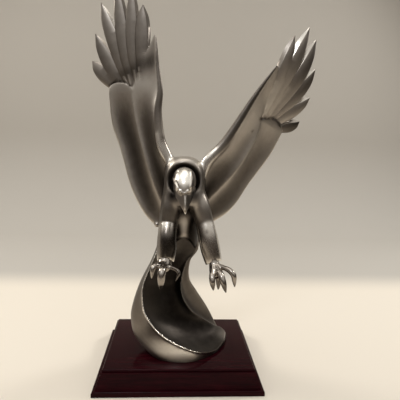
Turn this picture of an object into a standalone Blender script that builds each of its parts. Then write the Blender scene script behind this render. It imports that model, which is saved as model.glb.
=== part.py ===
"""Silver-plated eagle landing on a twisted wave, standing on a lacquered wooden plinth.

Metres, +Z up, the front towards -Y. The origin is at the centre of the plinth's underside.
The figure is drawn 350 units high, from the plinth's top to the tip of its highest feather.
A point of the figure is (right, back, up) on that drawing, from the centre of the plinth's top.
"""

import math

import bmesh
import bpy
from mathutils import Vector

# Driving sizes in metres
FIGURE_HEIGHT = 0.350
PLINTH_WIDTH = 0.152
PLINTH_DEPTH = 0.122
PLINTH_HEIGHT = 0.021
FOOT_BEAD_HEIGHT = 0.0046
FOOT_BEAD_ROUNDING = 0.0014
FOOT_STEP = 0.0014
FACE_LEAN = 0.0040
LIP_HEIGHT = 0.0014
LIP_STEP = 0.0014
TOP_SLAB_HEIGHT = 0.0022
TOP_EDGE_ROUNDING = 0.0008
SEAT_CLEARANCE = 0.0003

# The drawing that the figure's points are taken from
DRAWN_HEIGHT = 350.0
UNIT = FIGURE_HEIGHT / DRAWN_HEIGHT
SEAT_LEVEL = PLINTH_HEIGHT + SEAT_CLEARANCE
SHARE_STEP = 0.02

# How finely the forms are cut into faces
VANE_STATIONS = 15
LOBE_STATIONS = 9
TROUGH_POINTS = 4
FEATHER_STATIONS = 7
WAVE_STATIONS = 29
WAVE_SIDE_POINTS = 10
TORSO_SIDES = 24
COWL_SIDES = 24
HEAD_STATIONS = 9
HEAD_SIDES = 16
LEG_STATIONS = 10
LEG_SIDES = 14
TOE_SIDES = 8
ROUNDING_POINTS = 3

# Wings: edges from the shoulder outwards. The ridge runs on as the hand's edge to the last tip.
LEFT_LEAD = [(-5, -6, 170), (-10.5, -7, 186), (-18.5, -5, 203), (-22, -2, 227.5), (-21, 1, 247.5),
             (-24.5, 5, 270.5), (-27, 9, 293), (-29, 12, 301)]
LEFT_RIDGE = [(-16, -4, 131), (-28.5, 0, 160.5), (-39, 6, 191), (-46.5, 11, 219), (-51, 14, 247),
              (-44.5, 13, 263), (-40, 13, 277), (-32, 12.5, 299)]
LEFT_TRAIL = [(-18, 0, 114), (-33.5, 3, 124.5), (-50, 10, 152.5), (-62, 17, 190.5), (-71, 20, 216.5),
              (-74.5, 23, 246)]
LEFT_FEATHERS = [
    [(-65.5, 24, 250), (-79.5, 28, 264), (-92, 33, 277.5)],
    [(-55.5, 22, 248), (-72, 27, 272), (-89, 33, 303.5)],
    [(-51.5, 19.5, 248), (-68.5, 25, 293.5), (-83, 31, 332.5)],
    [(-49, 17, 250), (-59.5, 22, 296.5), (-67.5, 28, 350)],
    [(-45, 15, 256), (-50.5, 18.5, 296), (-52.5, 23, 348)],
    [(-42.5, 14, 266), (-41, 16, 299.5), (-41, 18.5, 328.5)],
]
RIGHT_LEAD = [(13.5, -6, 167), (18.5, -7, 184.5), (33.5, -5, 200), (45, -2, 215.5), (60.5, 3, 239),
              (72.5, 6, 256), (81.5, 8, 268), (88.5, 10, 277)]
RIGHT_RIDGE = [(21, -2, 140.5), (45, 4, 165), (61, 10, 186), (72, 15, 206), (77, 17, 224),
               (81, 16, 242.5), (87, 14, 258), (91, 12, 275)]
RIGHT_TRAIL = [(24, 0, 118), (41.5, 8, 127.5), (55, 16, 140), (68, 22, 159), (90.5, 31, 188),
               (104, 36, 213)]
RIGHT_FEATHERS = [
    [(98, 30, 217), (111.5, 34, 220.5), (122.5, 38, 226)],
    [(92.5, 27, 222), (114, 34, 236.5), (133, 40, 251.5)],
    [(88.5, 24, 226), (116, 31, 254), (135.5, 37, 279.5)],
    [(84.5, 22, 226), (114.5, 27, 269.5), (132.5, 32, 307.5)],
    [(80, 20, 226), (105, 22, 277), (123, 27, 317.5)],
    [(78.5, 18, 228), (95, 18, 275.5), (107, 20, 307.5)],
]
LOBE_END = 4 / 7               # share of the ridge where the covert lobe ends
# Leading roll, from the edge inwards: (across, height) in roll radii, and its most in band widths
ROLL_PROFILE = [(0, 0), (0.3, 0.75), (1, 1), (1.7, 0.7), (2.1, 0.2)]
ROLL_LIMIT = 0.3
ROLL_RADII = [5.0, 4.6, 4.2, 3.8, 3.2, 2.4, 1.6, 0.5]
HAND_THICKNESS = [7.0, 6.5, 6.0, 5.5, 5.0, 4.2, 3.4, 1.0]
HAND_TROUGH = [2.5, 3.5, 4.0, 3.5, 1.5, 1.2, 0.9, 0.1]
HAND_CREST = 0.6
HAND_BACK_LEVEL = 0.7          # where the back starts below the edge, in roll radii
HAND_BACK_SLOPE = 0.8
LOBE_THICKNESS = [6.0, 6.5, 7.0, 7.0, 7.5, 7.5]
LOBE_TROUGH = [1.0, 2.5, 4.0, 4.0, 3.5, 2.5]
LOBE_EDGE = 2.4
LOBE_TUCK = 3.0
LOBE_END_RISE = 5.5
LOBE_END_STEPS = [(0.55, 0.05), (0.85, 0.16), (1.0, 0.3)]    # (share of the rise, pinch)
LOBE_END_THINNING = 0.75
LOBE_BACK_SLOPE = 0.4
LEFT_FEATHER_WIDTHS = [14.0, 15.5, 14.0, 14.0, 13.0, 14.0]
RIGHT_FEATHER_WIDTHS = [12.0, 13.5, 15.5, 15.0, 14.5, 14.0]
LEFT_FEATHER_FRONT = (-0.12, -0.99, 0.05)
RIGHT_FEATHER_FRONT = (0.20, -0.97, -0.10)
FEATHER_TAPER = [0.45, 0.66, 0.88, 1.0, 0.96, 0.70, 0.06]
FEATHER_THINNING = [1.0, 1.0, 1.0, 0.9, 0.7, 0.2]
FEATHER_THICKNESS = 4.2
# A feather's section, leading edge first: (across, height) in widths and thicknesses
FEATHER_FACE = [(0, -0.25), (0.24, 0.5), (0.65, 0.4), (1, 0)]
FEATHER_BACK = [(0.15, -0.5), (0.7, -0.4)]
FEATHER_CROWDING = 0.85        # under 1, the sections draw together towards the tip

# Body: (centre right, half width, front, back, height) of level sections
TORSO = [(1, 4, -8, 4, 187), (1, 11, -15.5, 9, 185.3), (1, 14.5, -20, 13, 181.5), (1, 16.6, -23, 16.5, 173),
         (1.5, 17.8, -25, 19, 163), (1.5, 19.3, -28, 20.5, 154), (1.5, 20.3, -30, 21, 147),
         (1.7, 19.5, -29, 20.5, 141.5), (2, 17, -20.5, 19, 136), (1.5, 15.5, -18.5, 17, 124),
         (1.5, 14.5, -17.5, 15, 113), (2, 12.5, -15.5, 13, 109.5)]
COWL_CENTRE = (0.4, -30, 168)
COWL_RADII = (15.2, 24, 13.8)

# Head, legs, feet and toes: (centre, half width, half height) of sections across
HEAD = [((1, -4, 168), 8.2, 9.5), ((0.6, -15, 170.5), 8.8, 9.8), ((0.2, -25, 170), 9.0, 10.0),
        ((0.2, -33, 166.4), 9.0, 9.6), ((0.3, -39, 160.8), 7.8, 7.4), ((0.4, -42.2, 156.8), 3.6, 3.4)]
BEAK = [((0.2, -29, 166), 8.4, 7.0), ((0.3, -36, 161), 8.8, 6.6), ((0.6, -40.3, 155.8), 6.6, 5.3),
        ((1.1, -43.8, 150.5), 4.5, 4.3), ((1.5, -46.8, 146), 2.7, 3.0), ((1.9, -48.6, 140.6), 0.5, 0.8)]
LEFT_LEG = [((-7, -7, 162), 7.0, 6.5), ((-9.3, -16.5, 152), 9.8, 9.0), ((-11.5, -23.5, 141), 9.4, 9.6),
            ((-13.6, -28, 132), 8.0, 9.4), ((-14.4, -32.5, 122), 7.5, 8.8), ((-14.3, -37, 108), 8.6, 8.2),
            ((-14.6, -39.5, 99.5), 7.6, 7.0)]
RIGHT_LEG = [((8.5, -7, 162), 7.0, 6.5), ((12.6, -16, 152), 9.8, 9.0), ((16.8, -22.5, 141.5), 9.4, 9.6),
             ((19.8, -27, 132), 8.6, 9.4), ((22.3, -30.5, 122), 8.9, 9.2), ((25.8, -36.5, 106), 9.6, 8.4),
             ((28, -39.5, 98), 8.2, 7.0)]
LEFT_FOOT = [((-14.8, -40, 104), 5.4, 5.4), ((-15.2, -47, 98), 4.8, 4.4), ((-15.5, -53, 93), 3.6, 3.0)]
RIGHT_FOOT = [((26, -38, 102), 5.4, 5.4), ((28, -46, 96.5), 4.8, 4.4), ((28.6, -52, 92), 3.6, 3.0)]
LEFT_TOES = [[(-15.5, -51, 94), (-17, -62, 89), (-17.5, -62, 77)],
             [(-16, -50, 95), (-23.5, -56, 94), (-25.5, -57, 84)],
             [(-14, -50, 93), (-2.8, -53, 91), (-5.5, -55, 81)],
             [(-15.5, -48, 94), (-16.5, -40, 86), (-16.5, -43, 77)]]
RIGHT_TOES = [[(28, -50, 93), (26.5, -59, 89), (27.5, -58, 75)],
              [(29, -50, 93), (36.5, -60, 88.5), (38, -60, 75)],
              [(29, -50, 93), (46.5, -56, 90), (45.8, -56, 78)],
              [(29, -48, 92), (33, -40, 82), (33, -42, 69)]]
TOE_RADII = [3.4, 3.4, 3.2, 2.3, 0.5]
TOE_STATIONS = 7

# Wave: left rim, right rim, flute floor, back fold, back and outer side, from the body to the lobe's tip
WAVE = [
    [(-9, -2, 140), (9, -2, 140), (0, 2, 140), (10, 3, 140), (1, 12, 140), (-10, 4, 140)],
    [(-12, -3, 130), (12, -3, 130), (0, 4, 130), (13, 4, 130), (1, 16.5, 130), (-13.5, 6, 130)],
    [(-18, -5, 118), (15, -6, 116), (-2, 5, 118), (16, 3, 116), (1, 19.5, 117), (-19, 7, 118)],
    [(-22, -8, 100), (15.5, -6, 98), (-3, 5, 99), (16, 0, 97), (-2, 22.5, 99), (-22.5, 5, 99)],
    [(-27.5, -16, 86), (5.5, -8, 84), (-10, 5, 82), (9, 2, 84), (-8, 24, 82), (-28, 3, 84)],
    [(-35, -24, 67), (0.3, -9, 64), (-14, 3, 60), (9, 9, 64), (-10, 28, 63), (-37, -2, 66)],
    [(-34.5, -30, 50), (2.5, -8, 49), (-13, -4, 40), (17, 16, 48), (-8, 33, 46), (-44, -5, 47)],
    [(-30.5, -34, 39.5), (10, -4, 35.5), (-8, -9, 24), (26, 22, 33), (0, 36, 28), (-46.5, -7, 29)],
    [(-19, -38, 26.5), (18, 0, 28), (2, -14, 14.5), (32, 25, 22), (10, 35, 9), (-41, -12, 10)],
    [(-2, -40, 16), (28, 5, 20), (15, -17, 8.5), (38, 25.5, 10), (22, 31, -6), (-18, -31, -4)],
    [(18, -37.5, 7.5), (37, 8, 14), (28, -15, 5.5), (43, 21, 1), (31, 20, -12), (8, -38, -10)],
    [(35, -25, 3), (44, 7.5, 11.5), (40, -8, 5), (47, 13, -3), (40, 6, -14), (29, -26, -12)],
    [(45.5, -8, 4.5), (48, 3, 8.5), (47.2, -2, 6), (49, 5, 2), (47, 0, -6), (45, -8, -4)],
]
FLUTE_SHARPNESS = 1.25
FOLD_HOLLOW = 0.16             # share of the gap between the right rim and the fold


def place(point):
    """A drawing point in metres, above the plinth's top."""
    return Vector((point[0] * UNIT, point[1] * UNIT, SEAT_LEVEL + point[2] * UNIT))


def curve_at(values, share):
    """A smooth curve through the values, read at a share from 0 to 1 of their number."""
    spans = len(values) - 1
    along = min(max(share, 0.0), 1.0) * spans
    i = min(int(along), spans - 1)
    t = along - i
    b, c = values[i], values[i + 1]
    a = values[i - 1] if i > 0 else 2 * b - c
    d = values[i + 2] if i + 2 <= spans else 2 * c - b
    return 0.5 * (2 * b + (c - a) * t + (2 * a - 5 * b + 4 * c - d) * t * t
                  + (3 * b - a - 3 * c + d) * t * t * t)


def vectors(points):
    return [Vector(p) for p in points]


def shares(count):
    return [i / (count - 1) for i in range(count)]


def make_object(name, mesh):
    data = bpy.data.meshes.new(name)
    mesh.to_mesh(data)
    mesh.free()
    made = bpy.data.objects.new(name, data)
    bpy.context.scene.collection.objects.link(made)
    return made


def loft(name, rings, cut_at_seat=False):
    """A closed solid through rings that each run out along the front and home along the back."""
    mesh = bmesh.new()
    loops = [[mesh.verts.new(place(p)) for p in ring] for ring in rings]
    count = len(loops[0])
    half = count // 2
    for near, far in zip(loops, loops[1:]):
        for i in range(count):
            j = (i + 1) % count
            mesh.faces.new((near[i], near[j], far[j], far[i]))
    for loop in (loops[0], loops[-1]):
        mesh.faces.new((loop[0], loop[1], loop[-1]))
        for i in range(1, half - 1):
            mesh.faces.new((loop[i], loop[i + 1], loop[-i - 1], loop[-i]))
        mesh.faces.new((loop[half - 1], loop[half], loop[half + 1]))
    if cut_at_seat:
        everything = mesh.verts[:] + mesh.edges[:] + mesh.faces[:]
        cut = bmesh.ops.bisect_plane(mesh, geom=everything, dist=1e-7, plane_co=(0, 0, SEAT_LEVEL),
                                     plane_no=(0, 0, -1), clear_outer=True)
        rim = [e for e in cut["geom_cut"] if isinstance(e, bmesh.types.BMEdge)]
        bmesh.ops.contextual_create(mesh, geom=rim)
    bmesh.ops.triangulate(mesh, faces=mesh.faces)
    bmesh.ops.recalc_face_normals(mesh, faces=mesh.faces)
    return make_object(name, mesh)


def front_of(chord, span):
    """The unit normal of a surface, on the side that faces the front."""
    normal = chord.cross(span).normalized()
    return normal if normal.y < 0 else -normal


def band_ring(lead, trail, normal, front, back):
    """One ring of a band, from (distance across, height) pairs on its front and its back."""
    across = (trail - lead).normalized()
    return [lead + across * u + normal * n for u, n in front + back[::-1]]


def trough(start, end, start_height, end_height, depth):
    """Points of a hollow between two edges, without the edges themselves."""
    points = []
    for k in range(1, TROUGH_POINTS + 1):
        t = k / (TROUGH_POINTS + 1)
        sag = depth * 4 * t * (1 - t)
        points.append((start + (end - start) * t, start_height + (end_height - start_height) * t - sag))
    return points


def run_of(line, share):
    """The short stretch of a smooth line around a share of it."""
    return curve_at(line, min(share + SHARE_STEP, 1)) - curve_at(line, max(share - SHARE_STEP, 0))


def band_frame(lead, lead_share, trail, trail_share):
    """Edge points and front normal of a band between two smooth edges."""
    a, d = curve_at(lead, lead_share), curve_at(trail, trail_share)
    return a, d, front_of(d - a, run_of(lead, lead_share) + run_of(trail, trail_share))


def hand(name, lead, ridge):
    """Leading roll, groove and hollow up to the ridge, from the shoulder to the last feather's tip."""
    lead, ridge = vectors(lead), vectors(ridge)
    rings = []
    for s in shares(VANE_STATIONS):
        a, d, normal = band_frame(lead, s, ridge, s)
        width = (d - a).length
        thick = curve_at(HAND_THICKNESS, s)
        r = min(curve_at(ROLL_RADII, s), ROLL_LIMIT * width)
        front = [(r * u, r * n) for u, n in ROLL_PROFILE]
        roll_end, roll_foot = front[-1]
        front += trough(roll_end, width, roll_foot, HAND_CREST, curve_at(HAND_TROUGH, s))
        front += [(width, HAND_CREST), (width + 0.12 * thick, -0.4 * thick)]
        back = [(u, -min(thick, HAND_BACK_LEVEL * r + HAND_BACK_SLOPE * u)) for u, _ in front[1:-1]]
        rings.append(band_ring(a, d, normal, front, back))
    return loft(name, rings)


def lobe(name, ridge, trail):
    """Hollow between the ridge and the trailing edge, from the shoulder to its rounded end."""
    ridge, trail = vectors(ridge), vectors(trail)
    rings = []
    stations = [(s, 0.0, 0.0) for s in shares(LOBE_STATIONS)]
    stations += [(1.0, rise, pinch) for rise, pinch in LOBE_END_STEPS]
    for s, rise, pinch in stations:
        a, d, normal = band_frame(ridge, s * LOBE_END, trail, s)
        span = (d - a).cross(normal).normalized()
        span = span if span.z > 0 else -span
        a = a + span * LOBE_END_RISE * rise
        d = d + span * LOBE_END_RISE * rise
        a, d = a.lerp(d, pinch * 0.4), d.lerp(a, pinch)
        width = (d - a).length
        thin = 1 - LOBE_END_THINNING * rise ** 4
        thick = curve_at(LOBE_THICKNESS, s) * thin
        edge = LOBE_EDGE * thin
        front = [(-LOBE_TUCK * thin, -0.45 * thick), (0, 0.2 * thin)]
        front += trough(0, width - edge, 0.2 * thin, edge / 2, curve_at(LOBE_TROUGH, s) * thin)
        front += [(width - edge, edge / 2), (width, 0)]
        back = [(u, -min(thick, edge / 2 + (width - u) * LOBE_BACK_SLOPE)) for u, _ in front[1:-1]]
        rings.append(band_ring(a, d, normal, front, back))
    return loft(name, rings)


def feather(name, points, width, front_normal, trailing_side):
    """A blade with a broad chamfer along its leading edge, narrowing to a point."""
    line = vectors(points)
    rings = []
    for s in shares(FEATHER_STATIONS):
        s = s ** FEATHER_CROWDING
        centre = curve_at(line, s)
        axis = run_of(line, s).normalized()
        across = Vector(front_normal).cross(axis).normalized() * trailing_side
        normal = front_of(across, axis)
        w = width * curve_at(FEATHER_TAPER, s)
        t = FEATHER_THICKNESS * curve_at(FEATHER_THINNING, s)
        front = [(u * w, n * t) for u, n in FEATHER_FACE]
        back = [(u * w, n * t) for u, n in FEATHER_BACK]
        lead = centre - across * w / 2
        rings.append(band_ring(lead, lead + across * w, normal, front, back))
    return loft(name, rings)


def tube(name, stations, sides):
    """A round-sided limb through (centre, half width, half height) sections."""
    centres = [Vector(s[0]) for s in stations]
    lateral = Vector((1, 0, 0))
    first = (centres[1] - centres[0]).normalized()
    if abs(first.x) > 0.8:
        lateral = Vector((0, 0, 1))
    rings = []
    for i, (_, half_width, half_height) in enumerate(stations):
        axis = (centres[min(i + 1, len(centres) - 1)] - centres[max(i - 1, 0)]).normalized()
        lateral = (lateral - axis * lateral.dot(axis)).normalized()
        upright = axis.cross(lateral)
        ring = []
        for k in range(sides):
            angle = 2 * math.pi * k / sides
            ring.append(centres[i] + lateral * half_width * math.cos(angle)
                        + upright * half_height * math.sin(angle))
        rings.append(ring)
    return loft(name, rings)


def fine_stations(stations, count):
    """More sections between the given ones."""
    centres = [Vector(s[0]) for s in stations]
    widths = [s[1] for s in stations]
    heights = [s[2] for s in stations]
    return [(curve_at(centres, s), curve_at(widths, s), curve_at(heights, s)) for s in shares(count)]


def toe(name, points):
    line = vectors(points)
    stations = []
    for s in shares(TOE_STATIONS):
        radius = curve_at(TOE_RADII, s)
        stations.append((curve_at(line, s), radius, radius))
    return tube(name, stations, TOE_SIDES)


def torso(name):
    rings = []
    for x, half_width, front, back, height in TORSO:
        ring = []
        for k in range(TORSO_SIDES):
            angle = 2 * math.pi * k / TORSO_SIDES
            depth = -front if math.sin(angle) > 0 else back
            ring.append(Vector((x + half_width * math.cos(angle), -depth * math.sin(angle), height)))
        rings.append(ring)
    return loft(name, rings)


def cowl_hollow(name):
    mesh = bmesh.new()
    bmesh.ops.create_uvsphere(mesh, u_segments=COWL_SIDES, v_segments=COWL_SIDES // 2, radius=1.0)
    for v in mesh.verts:
        drawn = [c + r * k for c, r, k in zip(COWL_CENTRE, COWL_RADII, v.co)]
        v.co = place(drawn)
    bmesh.ops.triangulate(mesh, faces=mesh.faces)
    return make_object(name, mesh)


def wave(name):
    """The twisted, fluted wave that carries the eagle."""
    guides = [vectors(points) for points in zip(*WAVE)]
    rings = []
    for s in shares(WAVE_STATIONS):
        left, right, floor, fold, back, side = [curve_at(g, s) for g in guides]
        middle = (left + right) / 2
        ring = [left]
        for k in range(1, WAVE_SIDE_POINTS + 1):
            angle = math.pi * k / (WAVE_SIDE_POINTS + 1)
            sink = math.sin(angle) ** FLUTE_SHARPNESS
            ring.append(middle + (left - right) / 2 * math.cos(angle) + (floor - middle) * sink)
        ring.append(right)
        gap = fold - right
        hollow = right + gap / 2 + (back + side - fold - right).normalized() * gap.length * FOLD_HOLLOW
        outer = [right, hollow, fold, back, side, left]
        ring += [curve_at(outer, k / (WAVE_SIDE_POINTS + 1)) for k in range(1, WAVE_SIDE_POINTS + 1)]
        rings.append(ring)
    return loft(name, rings, cut_at_seat=True)


def wing_pieces(side, lead, ridge, trail, feathers, widths, front, trailing_side):
    pieces = [hand(side + "_hand", lead, ridge), lobe(side + "_lobe", ridge, trail)]
    for i, points in enumerate(feathers):
        pieces.append(feather(f"{side}_feather_{i + 1}", points, widths[i], front, trailing_side))
    return pieces


def leg_pieces(side, leg, foot, toes):
    pieces = [tube(side + "_leg", fine_stations(leg, LEG_STATIONS), LEG_SIDES)]
    pieces.append(tube(side + "_foot", foot, LEG_SIDES))
    pieces += [toe(f"{side}_toe_{i + 1}", points) for i, points in enumerate(toes)]
    return pieces


def add_boolean(target, other, operation):
    step = target.modifiers.new(other.name, "BOOLEAN")
    step.operation = operation
    step.object = other
    other.hide_render = True
    other.display_type = "WIRE"


def eagle_casting():
    """The eagle and its wave, cast in one piece."""
    casting = torso("eagle_casting")
    add_boolean(casting, cowl_hollow("cowl_hollow"), "DIFFERENCE")
    pieces = [wave("wave")]
    pieces.append(tube("head", fine_stations(HEAD, HEAD_STATIONS), HEAD_SIDES))
    pieces.append(tube("beak", fine_stations(BEAK, HEAD_STATIONS), HEAD_SIDES))
    pieces += wing_pieces("left", LEFT_LEAD, LEFT_RIDGE, LEFT_TRAIL, LEFT_FEATHERS,
                          LEFT_FEATHER_WIDTHS, LEFT_FEATHER_FRONT, 1)
    pieces += wing_pieces("right", RIGHT_LEAD, RIGHT_RIDGE, RIGHT_TRAIL, RIGHT_FEATHERS,
                          RIGHT_FEATHER_WIDTHS, RIGHT_FEATHER_FRONT, -1)
    pieces += leg_pieces("left", LEFT_LEG, LEFT_FOOT, LEFT_TOES)
    pieces += leg_pieces("right", RIGHT_LEG, RIGHT_FOOT, RIGHT_TOES)
    for piece in pieces:
        add_boolean(casting, piece, "UNION")
    return casting


def rounded(corner_inset, corner_level, radius):
    """An outer top edge rounded over: points inwards and up from the face to the top."""
    points = []
    for k in range(ROUNDING_POINTS + 1):
        angle = math.pi / 2 * k / ROUNDING_POINTS
        points.append((corner_inset + radius * (1 - math.cos(angle)),
                       corner_level - radius * (1 - math.sin(angle))))
    return points


def plinth_profile():
    """(inset from the foot's side, level) from the underside's edge to the top's edge."""
    face_foot = FOOT_STEP + FOOT_BEAD_ROUNDING
    lip_level = PLINTH_HEIGHT - TOP_SLAB_HEIGHT
    face_top = face_foot + FACE_LEAN
    slab_inset = face_top + LIP_STEP
    points = [(0.0, 0.0)]
    points += rounded(0.0, FOOT_BEAD_HEIGHT, FOOT_BEAD_ROUNDING)
    points += [(face_foot, FOOT_BEAD_HEIGHT), (face_top, lip_level - LIP_HEIGHT), (face_top, lip_level)]
    points.append((slab_inset, lip_level))
    points += rounded(slab_inset, PLINTH_HEIGHT, TOP_EDGE_ROUNDING)
    return points


def wooden_plinth():
    mesh = bmesh.new()
    loops = []
    for inset, level in plinth_profile():
        x, y = PLINTH_WIDTH / 2 - inset, PLINTH_DEPTH / 2 - inset
        corners = [(-x, -y, level), (x, -y, level), (x, y, level), (-x, y, level)]
        loops.append([mesh.verts.new(corner) for corner in corners])
    for low, high in zip(loops, loops[1:]):
        for i in range(4):
            j = (i + 1) % 4
            mesh.faces.new((low[i], low[j], high[j], high[i]))
    mesh.faces.new(loops[0][::-1])
    mesh.faces.new(loops[-1])
    bmesh.ops.recalc_face_normals(mesh, faces=mesh.faces)
    return make_object("wooden_plinth", mesh)


def finish(name, colour, roughness, metallic):
    material = bpy.data.materials.new(name)
    material.use_nodes = True
    shader = material.node_tree.nodes["Principled BSDF"]
    shader.inputs["Base Color"].default_value = (*colour, 1.0)
    shader.inputs["Roughness"].default_value = roughness
    shader.inputs["Metallic"].default_value = metallic
    return material


def main():
    for old in list(bpy.data.objects):
        bpy.data.objects.remove(old, do_unlink=True)
    casting = eagle_casting()
    casting.data.materials.append(finish("silver_plate", (0.42, 0.40, 0.37), 0.35, 1.0))
    plinth = wooden_plinth()
    plinth.data.materials.append(finish("dark_lacquer", (0.025, 0.004, 0.006), 0.12, 0.0))


main()
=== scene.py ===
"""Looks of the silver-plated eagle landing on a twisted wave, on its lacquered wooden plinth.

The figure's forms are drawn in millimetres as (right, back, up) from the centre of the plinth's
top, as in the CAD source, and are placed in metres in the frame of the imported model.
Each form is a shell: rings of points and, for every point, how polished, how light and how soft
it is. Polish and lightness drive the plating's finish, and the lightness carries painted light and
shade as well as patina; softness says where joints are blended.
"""

import math
from contextlib import contextmanager

import bmesh
import bpy
import numpy as np
from mathutils import Matrix, Vector
from mathutils.kdtree import KDTree


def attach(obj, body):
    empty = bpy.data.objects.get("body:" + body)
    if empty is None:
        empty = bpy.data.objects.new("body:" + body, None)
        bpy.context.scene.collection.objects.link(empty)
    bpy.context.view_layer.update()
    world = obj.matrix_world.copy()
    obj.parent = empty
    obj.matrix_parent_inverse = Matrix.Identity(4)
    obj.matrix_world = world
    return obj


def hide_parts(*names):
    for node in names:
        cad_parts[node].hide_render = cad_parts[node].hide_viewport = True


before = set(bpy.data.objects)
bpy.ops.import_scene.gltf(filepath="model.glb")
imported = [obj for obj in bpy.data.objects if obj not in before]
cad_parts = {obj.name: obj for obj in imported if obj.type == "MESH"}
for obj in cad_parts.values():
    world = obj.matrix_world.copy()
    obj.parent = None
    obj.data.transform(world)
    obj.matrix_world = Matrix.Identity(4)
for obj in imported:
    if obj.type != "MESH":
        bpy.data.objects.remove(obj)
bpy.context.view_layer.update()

MM = 0.001
PLINTH_WIDTH = 0.152
PLINTH_DEPTH = 0.122
PLINTH_HEIGHT = 0.021
SEAT_LEVEL = 0.0213

# How finely the skins are cut, in millimetres unless said otherwise
BODY_VOXEL = 0.62
FOOT_VOXEL = 0.6
HEAD_VOXEL = 0.5
SLIVER = 0.003                 # faces narrower than this are dissolved
BODY_FACES = 118000            # triangles kept in the blended body
CREASE_ANGLE = math.radians(38)
# Stations along each form, and points round it or across it
HAND_STATIONS, ROLL_POINTS, HAND_HOLLOW_POINTS = 110, 11, 24
LOBE_STATIONS, LOBE_END_STATIONS, LOBE_HOLLOW_POINTS = 80, 10, 30
FEATHER_STATIONS = 44
TORSO_STATIONS, TORSO_SIDES = 90, 120
LEG_STATIONS, LEG_SIDES = 64, 72
PALM_STATIONS, PALM_SIDES = 20, 32
TOE_STATIONS, TOE_SIDES = 40, 24
HEAD_STATIONS, SKULL_SIDES = 60, 72
WAVE_STATIONS, FLUTE_STEPS = 150, 40
RIM_SECTIONS, RIM_STATIONS, RIM_SIDES = 90, 260, 16
RIDGE_SECTIONS = 24
# How often a skin is softened
SKIN_PASSES, BLEND_PASSES, FOOT_PASSES, HEAD_PASSES = 4, 60, 5, 2

# The figure's drawing

LEFT_LEAD = [(-5, -6, 170), (-10.5, -7, 186), (-18.5, -5, 203), (-22, -2, 227.5), (-21, 1, 247.5),
             (-24.5, 5, 270.5), (-27, 9, 293), (-29, 12, 301)]
LEFT_RIDGE = [(-16, -4, 131), (-28.5, 0, 160.5), (-39, 6, 191), (-46.5, 11, 219), (-51, 14, 247),
              (-44.5, 13, 263), (-40, 13, 277), (-30.3, 12.3, 300.6)]
LEFT_TRAIL = [(-18, 0, 114), (-33.5, 3, 124.5), (-50, 10, 152.5), (-62, 17, 190.5), (-71, 20, 216.5),
              (-74.5, 23, 246)]
LEFT_FEATHERS = [
    [(-65.5, 24, 250), (-79.5, 28, 264), (-92, 33, 277.5)],
    [(-55.5, 21, 248), (-72, 26.5, 272), (-89, 33, 303.5)],
    [(-51.5, 18, 248), (-68.5, 24.5, 293.5), (-83, 31, 332.5)],
    [(-49, 16.2, 250), (-59.5, 21.5, 296.5), (-67.5, 28, 350)],
    [(-45, 14.8, 256), (-50.5, 18.5, 296), (-52.5, 23, 348)],
    [(-42, 13.8, 266), (-41.5, 16, 299.5), (-41.5, 18.5, 328.5)],
]
RIGHT_LEAD = [(13.5, -6, 167), (18.5, -7, 184.5), (33.5, -5, 200), (45, -2, 215.5), (60.5, 3, 239),
              (72.5, 6, 256), (81.5, 8, 268), (88.5, 10, 277)]
RIGHT_RIDGE = [(21, -2, 140.5), (45, 4, 165), (61, 10, 186), (72, 15, 206), (77, 17, 224),
               (81, 16, 242.5), (87, 14, 258), (91, 12, 275)]
RIGHT_TRAIL = [(24, 0, 118), (41.5, 8, 127.5), (55, 16, 140), (68, 22, 159), (90.5, 31, 188),
               (104, 36, 213)]
RIGHT_FEATHERS = [
    [(98, 34.5, 217), (111.5, 37, 220.5), (122.5, 38, 226)],
    [(92, 32, 222), (114, 36.5, 236.5), (133, 41, 251.5)],
    [(88.5, 29.5, 226), (116, 32.5, 254), (135.5, 37, 279.5)],
    [(84.5, 25, 226), (114.5, 24.5, 269.5), (132.5, 31, 307.5)],
    [(80, 22, 226), (105, 19.5, 277), (123, 25, 317.5)],
    [(78.5, 20.8, 228), (96, 16.6, 275.5), (107, 19.5, 307.5)],
]
LOBE_END = 4 / 7
# From the shoulder outwards: lightness of the faces, painted to follow the light along the wing, how much
# darker the hollows are, with patina and painted shade, and the rolls' painted highlights
LEFT_HAND_LIGHT = [0.3, 0.52, 0.68, 0.76, 0.85, 0.5, 0.5, 0.72]
RIGHT_HAND_LIGHT = [0.25, 0.48, 0.68, 0.74, 0.7, 0.62, 0.58, 0.6]
LEFT_HAND_SHADE = [0.3, 0.48, 0.52, 0.5, 0.18, 0.0, 0.0, 0.0]
RIGHT_HAND_SHADE = [0.35, 0.3, 0.18, 0.1, 0.0, 0.0, 0.0, 0.0]
LEFT_LOBE_SHADE = [0.3, 0.52, 0.55, 0.55, 0.48, 0.1]
RIGHT_LOBE_SHADE = [0.5, 0.5, 0.42, 0.38, 0.26, 0.04]
LEFT_ROLL_SHINE = [0.95, 1.0, 0.7, 0.35, 0.3, 0.3, 0.3, 0.4]
RIGHT_ROLL_SHINE = [0.95, 0.9, 0.4, 0.22, 0.18, 0.18, 0.15, 0.15]
ROLL_POLISH = 0.9              # polish of a roll, as a share of its shine
ROLL_INNER_SIDE = (0.72, 0.86)  # where a roll's outer side gives way to its inner one
ROLL_INNER_LIGHT = (0.2, 0.6)  # lightness of the inner side at the shoulder, and its gain outwards
ROLL_INNER_RISE = (0.25, 0.45)
PATINA_AND_SHADE_SPREAD = 0.9            # below 1 the patina and painted shade spread from the hollow's middle, above 1 they gather
SATIN = 0.15                   # polish of all that is not buffed
# Painted highlight along the crest, and the crest's polish
CREST_LIGHT, CREST_POLISH = 0.72, 0.4
BACK_LIGHT = 0.5
LOBE_LIGHT = 0.66
# Shares of the length over which a form stops being blended into its neighbours
HAND_SHOULDER, LOBE_SHOULDER, ROOT_BLEND = (0.1, 0.24), (0.1, 0.3), (0.12, 0.3)
BELLY_BLEND, THIGH_BLEND, WAVE_BLEND = (0.84, 0.94), (0.3, 0.43), (0.1, 0.26)
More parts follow.
